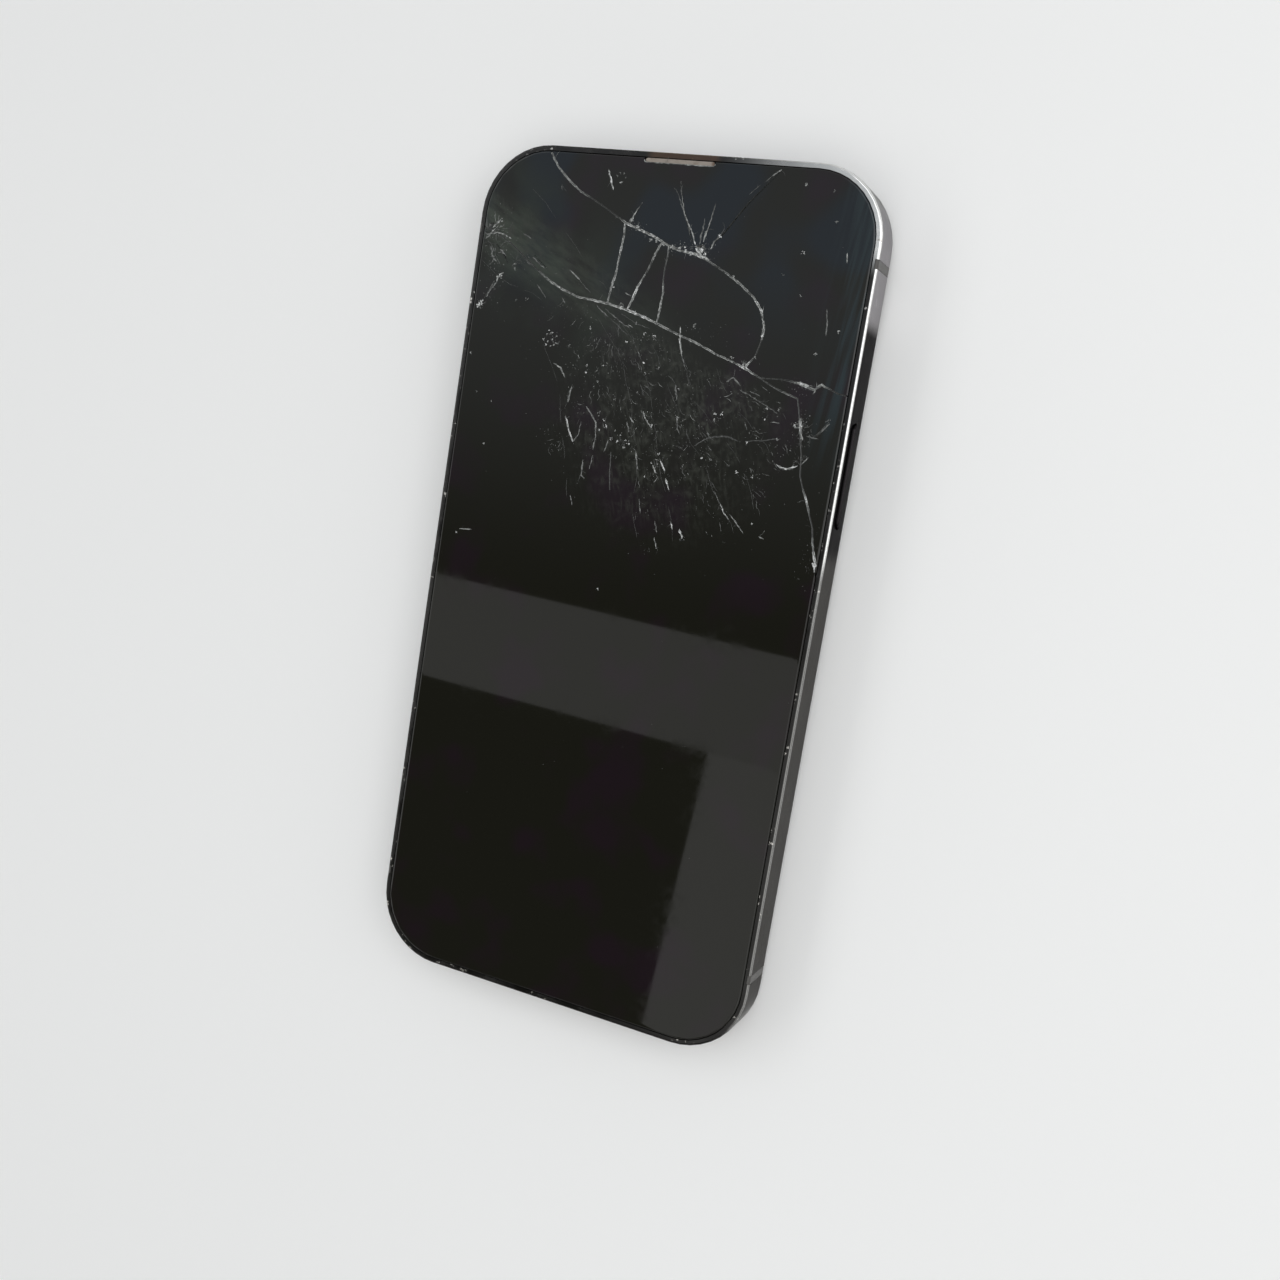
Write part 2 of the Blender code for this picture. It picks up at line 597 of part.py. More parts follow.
def drawn_in(corners, distance, sharpest=0.35):
    """An anticlockwise outline moved inwards, with its sharpest points blunted."""
    moved = []
    for i, here in enumerate(corners):
        normals = []
        for a, b in ((corners[i - 1], here), (here, corners[(i + 1) % len(corners)])):
            length = math.dist(a, b)
            normals.append(((a[1] - b[1]) / length, (b[0] - a[0]) / length))
        (ax, ay), (bx, by) = normals
        scale = distance / max(sharpest, 1 + ax * bx + ay * by)
        moved.append((here[0] + (ax + bx) * scale, here[1] + (ay + by) * scale))
    return moved


def add_groove(bm, path):
    """A V-shaped crack along a path, shallow and narrow at both ends."""
    above = GROOVE_DEPTH / 2
    rings = []
    for i, (x, y) in enumerate(path):
        before, after = path[max(i - 1, 0)], path[min(i + 1, len(path) - 1)]
        length = math.dist(before, after)
        nx, ny = (before[1] - after[1]) / length, (after[0] - before[0]) / length
        share = 0.4 if i in (0, len(path) - 1) else 1.0
        wide = GROOVE_WIDTH * share * (1 + above / GROOVE_DEPTH) / 2
        rings.append([(x + nx * wide, y + ny * wide, Z_FRONT + above),
                      (x - nx * wide, y - ny * wide, Z_FRONT + above),
                      (x, y, Z_FRONT - GROOVE_DEPTH * share)])
    add_loft(bm, rings)


def add_chip(bm, x, y, radius, chance):
    """A shallow pit with an uneven rim, where a flake has come away."""
    spread = [radius * chance.uniform(0.7, 1.2) for _ in range(CHIP_CORNERS)]
    turn = 2 * math.pi / CHIP_CORNERS
    rings = []
    for z, scale in ((Z_FRONT + CHIP_DEPTH, 1.4), (Z_FRONT - CHIP_DEPTH, 0.35)):
        rings.append([(x + r * scale * math.cos(turn * i), y + r * scale * math.sin(turn * i), z)
                      for i, r in enumerate(spread)])
    add_loft(bm, rings)


def make_cover_glass(glass):
    """The shattered cover glass: seven pieces that the glue behind still holds in place."""
    marks = bmesh.new()
    for path in GROOVES:
        add_groove(marks, [measured(p) for p in path])
    chance = random.Random("chips")
    for right, below, radius in CHIPS:
        add_chip(marks, *measured((right, below)), radius * MM, chance)
    surface_damage = cutter("surface_damage", marks)

    slit = bmesh.new()
    add_prism(slit, rounded_outline(EARPIECE_LENGTH + 2 * FIT_GAP, 2 * EARPIECE_HEIGHT,
                                    EARPIECE_HEIGHT / 2, (0, SLIT_TOP)),
              Z_GLASS - PART_GAP, Z_FRONT + PART_GAP)
    earpiece_slit = cutter("earpiece_slit", slit)

    for name, loop in GLASS_PIECES.items():
        bm = bmesh.new()
        section = [(GLASS_INSET, Z_GLASS)]
        for step in range(EDGE_STEPS + 1):
            angle = math.radians(90 * step / EDGE_STEPS)
            section.append((GLASS_INSET + GLASS_EDGE_RADIUS * (1 - math.cos(angle)),
                            Z_FRONT - GLASS_EDGE_RADIUS * (1 - math.sin(angle))))
        add_loft(bm, [body_contour(inset, z) for inset, z in section])
        piece = finished(name, bm, glass)
        bounds = bmesh.new()
        add_prism(bounds, piece_outline(loop), Z_GLASS - PART_GAP, Z_FRONT + PART_GAP)
        boolean(piece, cutter(f"{name}_bounds", bounds), "INTERSECT")
        if name == "cover_glass_upper":
            boolean(piece, earpiece_slit)
        boolean(piece, surface_damage, crosses_itself=True)


def make_display(plastic, seal, panel_black, steel):
    """What lies under the glass: its plastic frame, the seal, the panel and its backplate."""
    frame = hoop("display_frame", GLASS_INSET, FRAME_WALL, Z_DISPLAY_FRAME, Z_PANEL_TOP, plastic)
    sound = bmesh.new()
    add_box(sound, (-EARPIECE_LENGTH / 2, SLIT_LOW, Z_DISPLAY_FRAME - PART_GAP),
            (EARPIECE_LENGTH / 2, SLIT_TOP - FIT_GAP, Z_PANEL_TOP + PART_GAP))
    boolean(frame, cutter("earpiece_duct", sound))
    hoop("display_seal", GLASS_INSET + FIT_GAP, FRAME_WALL, Z_GASKET, Z_GASKET_TOP, seal)

    half_width = RIGHT - PANEL_INSET
    half_length = TOP - PANEL_INSET
    outline = rounded_outline(2 * half_width, 2 * half_length, CORNER_RADIUS - PANEL_INSET)
    for name, low, high, made_of in (
            ("display_panel", Z_PANEL, Z_PANEL_TOP, panel_black),
            ("display_backplate", Z_BACKPLATE, Z_BACKPLATE_TOP, steel)):
        sheet = solid_prism(name, outline, low, high, made_of)
        notch = bmesh.new()
        add_prism(notch, rounded_outline(NOTCH_LENGTH, 2 * NOTCH_DEPTH, BATTERY_CORNER,
                                         (0, half_length)), low - PART_GAP, high + PART_GAP)
        boolean(sheet, cutter(f"{name}_notch", notch))


def make_earpiece(mesh_metal, plastic):
    """The mesh in the slit at the top of the glass, and the speaker that sounds through it."""
    top = Z_FRONT - EARPIECE_MESH_SUNK
    solid_prism("earpiece_mesh",
                rounded_outline(EARPIECE_LENGTH - 2 * FIT_GAP, EARPIECE_HEIGHT - FIT_GAP,
                                EARPIECE_HEIGHT / 2, (0, (SLIT_TOP + SLIT_LOW) / 2)),
                top - EARPIECE_MESH_THICKNESS, top, mesh_metal)
    high = CAVITY_TOP - PART_GAP
    solid_prism("earpiece_speaker",
                rounded_outline(EAR_SPEAKER_WIDTH, EAR_SPEAKER_LENGTH, BATTERY_CORNER,
                                (0, high - EAR_SPEAKER_LENGTH / 2)),
                Z_COMPONENTS, Z_CEILING, plastic)


def make_front_sensors(plastic, lens_black):
    """The front camera and the proximity sensor, either side of the earpiece speaker."""
    off = EAR_SPEAKER_WIDTH / 2 + PART_GAP
    y = CAVITY_TOP - PART_GAP - FRONT_CAMERA_BOX / 2
    x = -off - FRONT_CAMERA_BOX / 2
    bm = bmesh.new()
    add_prism(bm, rounded_outline(FRONT_CAMERA_BOX, FRONT_CAMERA_BOX, FIT_GAP, (x, y)),
              Z_COMPONENTS, Z_CEILING)
    camera = finished("front_camera", bm, lens_black)
    lens = bmesh.new()
    add_prism(lens, circle(FRONT_CAMERA_LENS_RADIUS, (x, y), 20), Z_CEILING - PART_GAP,
              Z_PANEL_TOP - PART_GAP)
    boolean(camera, cutter("front_camera_lens", lens), "UNION")
    x = off + SENSOR_WIDTH / 2
    solid_prism("proximity_sensor",
                rounded_outline(SENSOR_WIDTH, FRONT_CAMERA_BOX, FIT_GAP, (x, y)),
                Z_COMPONENTS, Z_CEILING, plastic)


def make_back(glass, metal, lens_glass, flash_plastic):
    """The rear glass with the camera island, its lens rings and covers, and the flash."""
    bm = bmesh.new()
    section = [(GLASS_INSET, Z_BACK_INNER)]
    for step in range(EDGE_STEPS + 1):
        angle = math.radians(90 * step / EDGE_STEPS)
        section.append((GLASS_INSET + GLASS_EDGE_RADIUS * (1 - math.cos(angle)),
                        Z_BACK + GLASS_EDGE_RADIUS * (1 - math.sin(angle))))
    add_loft(bm, [body_contour(inset, z) for inset, z in section])
    back = finished("back_glass", bm, glass)
    openings = bmesh.new()
    low, high = Z_BACK - PART_GAP, Z_BACK_INNER + PART_GAP
    add_prism(openings, island_outline(FIT_GAP), low, high)
    add_prism(openings, circle(FLASH_RADIUS + FIT_GAP, (FLASH_X, FLASH_Y)), low, high)
    boolean(back, cutter("back_glass_openings", openings))

    bm = bmesh.new()
    z = LENS_RING_PROUD
    chamfer = EDGE_RADIUS / 2
    add_loft(bm, [[(x, y, z) for x, y in island_outline(-chamfer)],
                  [(x, y, z + chamfer) for x, y in island_outline(0)],
                  [(x, y, Z_BACK_INNER) for x, y in island_outline(0)]])
    island = finished("camera_island", bm, metal)
    bores = bmesh.new()
    for place in LENS_PLACES.values():
        add_prism(bores, circle(LENS_RING_RADIUS + FIT_GAP, place, 32), z - PART_GAP,
                  Z_BACK_INNER + PART_GAP)
    boolean(island, cutter("island_bores", bores))

    for name, place in LENS_PLACES.items():
        make_lens(name, place, metal, lens_glass)
    solid_prism("flash_lens", circle(FLASH_RADIUS, (FLASH_X, FLASH_Y)), Z_BACK, Z_BACK_INNER,
                flash_plastic)


def island_outline(grow):
    return rounded_outline(ISLAND_WIDTH + 2 * grow, ISLAND_LENGTH + 2 * grow,
                           ISLAND_WIDTH / 2 + grow, (ISLAND_X, ISLAND_Y), 10)


def make_lens(name, place, metal, lens_glass):
    """A turned metal ring with a ledge, and the clear cover that sits on it."""
    bore = LENS_RING_RADIUS - LENS_RING_WALL
    seat = LENS_COVER_SUNK + LENS_COVER_THICKNESS + BOND_GAP
    chamfer = EDGE_RADIUS / 2
    bm = bmesh.new()
    add_turned(bm, [(bore, 0), (LENS_RING_RADIUS - chamfer, 0), (LENS_RING_RADIUS, chamfer),
                    (LENS_RING_RADIUS, Z_BACK_INNER), (bore - LENS_LEDGE, Z_BACK_INNER),
                    (bore - LENS_LEDGE, seat), (bore, seat)], place)
    finished(f"lens_ring_{name}", bm, metal)
    solid_prism(f"lens_cover_{name}", circle(bore - FIT_GAP, place, 32), LENS_COVER_SUNK,
                LENS_COVER_SUNK + LENS_COVER_THICKNESS, lens_glass)


def make_rear_cameras(lens_black):
    """Two camera modules, each a box with its barrel reaching down behind the lens cover."""
    barrel_low = LENS_COVER_SUNK + LENS_COVER_THICKNESS + BOND_GAP + PART_GAP
    for name, (x, y) in LENS_PLACES.items():
        box = rounded_outline(CAMERA_BOX, CAMERA_BOX, EDGE_RADIUS, (x, y), 2)
        camera = solid_prism(f"rear_camera_{name}", box, Z_COMPONENTS, Z_CEILING, lens_black)
        barrel = bmesh.new()
        add_prism(barrel, circle(LENS_BARREL_RADIUS, (x, y), 24), barrel_low,
                  Z_COMPONENTS + PART_GAP)
        boolean(camera, cutter(f"rear_camera_{name}_barrel", barrel), "UNION")


def make_charging_coil(copper, magnet, ferrite):
    """Coil and ring of magnets in the plate's round opening, with a ferrite disc over them."""
    centre = (0, COIL_Y)
    bm = bmesh.new()
    add_turned(bm, [(COIL_HOLE_RADIUS, Z_PLATE), (COIL_RADIUS, Z_PLATE), (COIL_RADIUS, Z_FLOOR),
                    (COIL_HOLE_RADIUS, Z_FLOOR)], centre, 48)
    finished("charging_coil", bm, copper)
    inner = MAGNET_RING_RADIUS - MAGNET_RING_WIDTH
    bm = bmesh.new()
    add_turned(bm, [(inner, Z_PLATE), (MAGNET_RING_RADIUS, Z_PLATE),
                    (MAGNET_RING_RADIUS, Z_FLOOR), (inner, Z_FLOOR)], centre, 48)
    finished("magnet_ring", bm, magnet)
    low = Z_FLOOR + BOND_GAP
    solid_prism("ferrite_disc", circle(MAGNET_RING_RADIUS, centre, 40), low,
                low + FERRITE_THICKNESS, ferrite)


def make_board(board_green, shield_metal, steel):
    """The logic board with its two shield cans and the screws that hold it down."""
    board = solid_prism("logic_board",
                        [(-SIDE_LIMIT, BOARD_LOW), (BOARD_RIGHT, BOARD_LOW),
                         (BOARD_RIGHT, BOARD_HIGH), (-SIDE_LIMIT, BOARD_HIGH)],
                        Z_COMPONENTS, Z_BOARD_TOP, board_green)
    holes = bmesh.new()
    for place in screw_places():
        add_prism(holes, circle(BOARD_SCREW_SHAFT_RADIUS + FIT_GAP, place, 12),
                  Z_COMPONENTS - PART_GAP, Z_BOARD_TOP + PART_GAP)
    boolean(board, cutter("board_holes", holes))

    reader_half = TRAY_WIDTH / 2 + READER_GAP + READER_WALL + PART_GAP
    screw_room = BOARD_SCREW_FROM_EDGE + BOARD_SCREW_RADIUS + PART_GAP
    spans = {"shield_can_upper": (TRAY_Y + reader_half, BOARD_HIGH - screw_room),
             "shield_can_lower": (BOARD_LOW + screw_room, TRAY_Y - reader_half)}
    left, right = -SIDE_LIMIT + SHIELD_MARGIN, BOARD_RIGHT - SHIELD_MARGIN
    for name, (low, high) in spans.items():
        outline = rounded_outline(right - left, high - low, EDGE_RADIUS,
                                  ((left + right) / 2, (low + high) / 2), 2)
        solid_prism(name, outline, Z_BOARD_TOP + BOND_GAP, Z_SHIELD_TOP, shield_metal)

    for number, place in enumerate(screw_places(), 1):
        seat = Z_BOARD_TOP + BOND_GAP
        bm = bmesh.new()
        rings = [(BOARD_SCREW_SHAFT_RADIUS, Z_PLATE + FIT_GAP),
                 (BOARD_SCREW_SHAFT_RADIUS, seat), (BOARD_SCREW_RADIUS, seat),
                 (BOARD_SCREW_RADIUS, seat + BOARD_SCREW_HEAD)]
        add_loft(bm, [[(x, y, z) for x, y in circle(radius, place, 12)] for radius, z in rings])
        screw = finished(f"board_screw_{number}", bm, steel)
        recess = bmesh.new()
        add_prism(recess, circle(BOARD_SCREW_SHAFT_RADIUS, place, 6),
                  seat + BOARD_SCREW_HEAD / 2, seat + BOARD_SCREW_HEAD + PART_GAP)
        boolean(screw, cutter(f"board_screw_{number}_recess", recess))


def battery_outline():
    """An L: the wide part under the cameras, and a leg beside them."""
    left, right = BOARD_RIGHT + PART_GAP, SIDE_LIMIT
    low = -CAVITY_TOP + BOTTOM_ZONE
    shoulder = LENS_PLACES["lower"][1] - CAMERA_BOX / 2 - PART_GAP
    leg_right = ISLAND_X - CAMERA_BOX / 2 - PART_GAP
    return [(left, low), (right, low), (right, shoulder), (leg_right, shoulder),
            (leg_right, BOARD_HIGH), (left, BOARD_HIGH)]


def make_power(battery_black, metal_dark, plastic):
    """The battery, and below it the haptic motor and the loudspeaker."""
    solid_prism("battery", battery_outline(), Z_COMPONENTS, Z_CEILING, battery_black)
    y = -CAVITY_TOP + HAPTIC_FROM_BOTTOM + HAPTIC_WIDTH / 2
    left = -SIDE_LIMIT + PART_GAP
    solid_prism("haptic_motor",
                rounded_outline(HAPTIC_LENGTH, HAPTIC_WIDTH, BATTERY_CORNER,
                                (left + HAPTIC_LENGTH / 2, y), 3),
                Z_COMPONENTS, Z_CEILING, metal_dark)
    x = SIDE_LIMIT - SPEAKER_WIDTH / 2
    y = -CAVITY_TOP + SPEAKER_FROM_BOTTOM + SPEAKER_LENGTH / 2
    solid_prism("loudspeaker",
                rounded_outline(SPEAKER_WIDTH, SPEAKER_LENGTH, BATTERY_CORNER, (x, y), 3),
                Z_COMPONENTS, Z_CEILING, plastic)


def make_port(metal, plastic, flex):
    """The charging socket: a drawn shell, the tongue in it, and the flex it is soldered to."""
    outer_end = -TOP + PORT_RECESS
    inner_end = outer_end + PORT_DEPTH
    shell = solid_prism("port_shell",
                        rounded_outline(PORT_WIDTH, PORT_HEIGHT, PORT_HEIGHT / 2, (0, Z_MIDDLE)),
                        outer_end, inner_end, metal, "Y")
    hollow = bmesh.new()
    add_prism(hollow,
              rounded_outline(PORT_WIDTH - 2 * PORT_WALL, PORT_HEIGHT - 2 * PORT_WALL,
                              PORT_HEIGHT / 2 - PORT_WALL, (0, Z_MIDDLE)),
              outer_end - PART_GAP, inner_end - PORT_WALL, "Y")
    boolean(shell, cutter("port_hollow", hollow))
    tongue_end = inner_end - PORT_WALL - BOND_GAP
    solid_prism("port_tongue",
                rounded_outline(TONGUE_WIDTH, TONGUE_THICKNESS, TONGUE_THICKNESS / 4,
                                (0, Z_MIDDLE), 2),
                tongue_end - TONGUE_LENGTH, tongue_end, plastic, "Y")

    low, high = Z_FLOOR + BOND_GAP, Z_FLOOR + BOND_GAP + FLEX_THICKNESS
    left = -SIDE_LIMIT + PART_GAP
    right = left + PORT_FLEX_WIDTH
    near, far = -CAVITY_TOP + PORT_DEPTH / 2, -CAVITY_TOP + PORT_DEPTH / 2 + PORT_FLEX_WIDTH
    outline = [(left, near), (PORT_WIDTH / 2, near), (PORT_WIDTH / 2, far), (right, far),
               (right, BOARD_LOW), (left, BOARD_LOW)]
    solid_prism("port_flex", outline, low, high, flex)


def make_bottom_fittings(steel, mesh_metal):
    """The two screws either side of the port, and the meshes behind the sound holes."""
    for side, side_name in ((-1, "left"), (1, "right")):
        x = side * BOTTOM_SCREW_FROM_MIDDLE
        start = -TOP + FIT_GAP
        rings = [(BOTTOM_SCREW_RADIUS, start), (BOTTOM_SCREW_RADIUS, start + BOTTOM_SCREW_HEAD),
                 (BOTTOM_SCREW_SHAFT_RADIUS, start + BOTTOM_SCREW_HEAD),
                 (BOTTOM_SCREW_SHAFT_RADIUS, start + BOTTOM_SCREW_LENGTH)]
        bm = bmesh.new()
        add_loft(bm, [placed(circle(radius, (x, Z_MIDDLE), 16), "Y", y) for radius, y in rings])
        screw = finished(f"bottom_screw_{side_name}", bm, steel)
        recess = bmesh.new()
        add_prism(recess, circle(BOTTOM_SCREW_SHAFT_RADIUS, (x, Z_MIDDLE), 5),
                  start - PART_GAP, start + BOTTOM_SCREW_HEAD / 2, "Y")
        boolean(screw, cutter(f"bottom_screw_{side_name}_recess", recess))

        near = SOUND_HOLE_FROM_MIDDLE - SOUND_HOLE_PITCH / 2
        far = near + SOUND_HOLES * SOUND_HOLE_PITCH
        outline = rounded_outline(far - near, BUTTON_HEIGHT, EDGE_RADIUS,
                                  (side * (near + far) / 2, Z_MIDDLE), 2)
        behind = -CAVITY_TOP + FIT_GAP
        solid_prism(f"sound_mesh_{side_name}", outline, behind, behind + SOUND_MESH_THICKNESS,
                    mesh_metal, "Y")


def make_button(name, side, from_top, length, metal):
    """A key that goes through the band: its cap, and behind the wall the flange that keeps it in."""
    y = TOP - from_top
    cap = button_outline(length, BUTTON_HEIGHT, y, Z_MIDDLE)
    flange = button_outline(length, BUTTON_HEIGHT, y, Z_MIDDLE, BUTTON_FLANGE_RIM / 2)
    crown = button_outline(length, BUTTON_HEIGHT, y, Z_MIDDLE, -EDGE_RADIUS / 2)
    wall = side * (CAVITY_RIGHT - FIT_GAP)
    face = side * (RIGHT + BUTTON_PROUD)
    bm = bmesh.new()
    add_loft(bm, [placed(crown, "X", face), placed(cap, "X", face - side * EDGE_RADIUS / 2),
                  placed(cap, "X", wall), placed(flange, "X", wall),
                  placed(flange, "X", wall - side * BUTTON_FLANGE)])
    finished(name, bm, metal)


def make_switches(metal, steel, plastic):
    """The keys on both sides, the dome switches they press, and the brackets behind those."""
    keys = [("volume_up", -1, VOLUME_UP_FROM_TOP, VOLUME_BUTTON_LENGTH),
            ("volume_down", -1, VOLUME_DOWN_FROM_TOP, VOLUME_BUTTON_LENGTH),
            ("side", 1, SIDE_BUTTON_FROM_TOP, SIDE_BUTTON_LENGTH)]
    flange_back = CAVITY_RIGHT - FIT_GAP - BUTTON_FLANGE
    dome_face = flange_back - BUTTON_TRAVEL - ANTENNA_GAP
    dome_back = dome_face - TACT_SWITCH_THICKNESS
    for name, side, from_top, length in keys:
        make_button(f"{name}_button", side, from_top, length, metal)
        outline = rounded_outline(TACT_SWITCH_LENGTH, TACT_SWITCH_HEIGHT, FIT_GAP,
                                  (TOP - from_top, Z_MIDDLE), 1)
        solid_prism(f"{name}_contact", outline, *sorted((side * dome_face, side * dome_back)),
                    plastic, "X")

    bracket_face = dome_back - ANTENNA_GAP
    bracket_back = bracket_face - BRACKET_THICKNESS
    spans = {
        "volume_bracket": (-1, RING_SWITCH_FROM_TOP - RING_SWITCH_LENGTH / 2,
                           VOLUME_DOWN_FROM_TOP + VOLUME_BUTTON_LENGTH / 2),
        "side_bracket": (1, SIDE_BUTTON_FROM_TOP - SIDE_BUTTON_LENGTH / 2,
                         SIDE_BUTTON_FROM_TOP + SIDE_BUTTON_LENGTH / 2)}
    for name, (side, start, end) in spans.items():
        outline = rounded_outline(end - start, BRACKET_HEIGHT, EDGE_RADIUS,
                                  (TOP - (start + end) / 2, Z_MIDDLE), 2)
        solid_prism(name, outline, *sorted((side * bracket_face, side * bracket_back)),
                    steel, "X")


def make_ring_switch(metal):
    """The silencing slider, resting at the rear end of its slot."""
    y = TOP - RING_SWITCH_FROM_TOP
    z = Z_MIDDLE - RING_SWITCH_TRAVEL / 2
    wall = -(CAVITY_RIGHT - FIT_GAP)
    cap = rounded_outline(RING_SWITCH_LENGTH, RING_SWITCH_HEIGHT, RING_SWITCH_HEIGHT / 2, (y, z), 5)
    flange_height = RING_SWITCH_HEIGHT + BUTTON_FLANGE_RIM
    flange = rounded_outline(RING_SWITCH_LENGTH + 2 * BUTTON_FLANGE_RIM, flange_height,
                             flange_height / 2, (y, z), 5)
    bm = bmesh.new()
    add_loft(bm, [placed(cap, "X", -RIGHT - BUTTON_PROUD), placed(cap, "X", wall),
                  placed(flange, "X", wall), placed(flange, "X", wall + BUTTON_FLANGE)])
    finished("ring_switch", bm, metal)


def make_sim(metal, steel):
    """The SIM tray with its card window, and the open-ended cage on the board that takes it."""
    face = rounded_outline(TRAY_FACE_LENGTH, TRAY_FACE_HEIGHT, TRAY_FACE_HEIGHT / 2,
                           (TRAY_Y, TRAY_Z))
    body = rounded_outline(TRAY_WIDTH, TRAY_THICKNESS, TRAY_THICKNESS / 2, (TRAY_Y, TRAY_Z))
    back_of_face = -RIGHT + TRAY_FACE_THICKNESS
    tray_end = back_of_face + TRAY_DEPTH
    bm = bmesh.new()
    add_loft(bm, [placed(face, "X", -RIGHT), placed(face, "X", back_of_face),
                  placed(body, "X", back_of_face), placed(body, "X", tray_end)])
    tray = finished("sim_tray", bm, metal)
    window = bmesh.new()
    card_right = tray_end - CARD_FROM_END
    add_box(window, (card_right - CARD_LENGTH, TRAY_Y - CARD_WIDTH / 2, TRAY_Z - TRAY_THICKNESS),
            (card_right, TRAY_Y + CARD_WIDTH / 2, TRAY_Z + TRAY_THICKNESS))
    eject_y = TRAY_Y - TRAY_FACE_LENGTH / 2 + EJECT_HOLE_FROM_END
    add_prism(window, circle(EJECT_HOLE_RADIUS, (eject_y, TRAY_Z), 12),
              -RIGHT - PART_GAP, -RIGHT + TRAY_FACE_THICKNESS / 2, "X")
    boolean(tray, cutter("tray_window", window))

    half_width = TRAY_WIDTH / 2 + READER_GAP
    half_height = TRAY_THICKNESS / 2 + READER_GAP
    start, end = -CAVITY_RIGHT + FIT_GAP, tray_end + READER_GAP + READER_WALL
    bm = bmesh.new()
    add_box(bm, (start, TRAY_Y - half_width - READER_WALL, TRAY_Z - half_height - READER_WALL),
            (end, TRAY_Y + half_width + READER_WALL, TRAY_Z + half_height + READER_WALL))
    reader = finished("sim_reader", bm, steel)
    hollow = bmesh.new()
    add_box(hollow, (start - PART_GAP, TRAY_Y - half_width, TRAY_Z - half_height),
            (end - READER_WALL, TRAY_Y + half_width, TRAY_Z + half_height))
    boolean(reader, cutter("reader_hollow", hollow))


def make_display_flex(flex):
    """The ribbon from the back of the display down to the board, in an easy S."""
    steps = 12
    right = BOARD_RIGHT - SHIELD_MARGIN
    high = Z_BACKPLATE - BOND_GAP - FLEX_THICKNESS
    low = Z_SHIELD_TOP + BOND_GAP
    centre = []
    for i in range(steps + 1):
        share = i / steps
        drop = (1 - math.cos(math.pi * min(1.0, max(0.0, 2 * share - 0.5)))) / 2
        centre.append((right - DISPLAY_FLEX_RUN * share, high + (low - high) * drop))
    outline = centre + [(x, z + FLEX_THICKNESS) for x, z in reversed(centre)]
    y = TOP - VOLUME_UP_FROM_TOP
    solid_prism("display_flex", outline, y - DISPLAY_FLEX_WIDTH / 2, y + DISPLAY_FLEX_WIDTH / 2,
                flex, "Y")


def main():
    clear_scene()
    polished_steel = material("polished_graphite_steel", (0.16, 0.155, 0.15), 0.2, 1.0)
    bare_steel = material("bare_steel", (0.55, 0.55, 0.56), 0.35, 1.0)
    black_glass = material("black_cover_glass", (0.008, 0.008, 0.009), 0.04)
    rear_glass = material("rear_glass", (0.02, 0.021, 0.023), 0.12)
    lens_glass = material("lens_glass", (0.01, 0.012, 0.018), 0.03)
    lens_black = material("camera_black", (0.015, 0.015, 0.017), 0.3)
    black_plastic = material("black_plastic", (0.03, 0.03, 0.032), 0.5)
    grey_plastic = material("grey_antenna_plastic", (0.12, 0.115, 0.11), 0.45)
    panel_black = material("panel_black", (0.006, 0.006, 0.008), 0.25)
    seal_black = material("seal_black", (0.02, 0.02, 0.02), 0.8)
    mesh_metal = material("speaker_mesh", (0.2, 0.16, 0.13), 0.5, 0.6)
    board_green = material("board_green", (0.02, 0.09, 0.05), 0.45)
    copper = material("copper", (0.75, 0.36, 0.2), 0.35, 1.0)
    magnet_grey = material("magnet_grey", (0.4, 0.4, 0.42), 0.4, 1.0)
    ferrite = material("ferrite", (0.05, 0.05, 0.055), 0.6)
    battery_black = material("battery_wrap", (0.035, 0.035, 0.037), 0.45)
    flex_brown = material("flex_polyimide", (0.16, 0.08, 0.025), 0.4)
    flash_yellow = material("flash_lens", (0.75, 0.68, 0.45), 0.25)

    make_frame(polished_steel)
    make_antenna_bands(grey_plastic)
    make_cover_glass(black_glass)
    make_display(black_plastic, seal_black, panel_black, bare_steel)
    make_earpiece(mesh_metal, black_plastic)
    make_front_sensors(black_plastic, lens_black)
    make_back(rear_glass, polished_steel, lens_glass, flash_yellow)
    make_rear_cameras(lens_black)
    make_charging_coil(copper, magnet_grey, ferrite)
    make_board(board_green, bare_steel, bare_steel)
    make_power(battery_black, bare_steel, black_plastic)
    make_port(bare_steel, black_plastic, flex_brown)
    make_bottom_fittings(bare_steel, mesh_metal)
    make_switches(polished_steel, bare_steel, black_plastic)
    make_ring_switch(polished_steel)
    make_sim(polished_steel, bare_steel)
    make_display_flex(flex_brown)


main()
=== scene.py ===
import json
import math
import random

import bmesh
import bpy
from mathutils import Matrix, Vector, noise


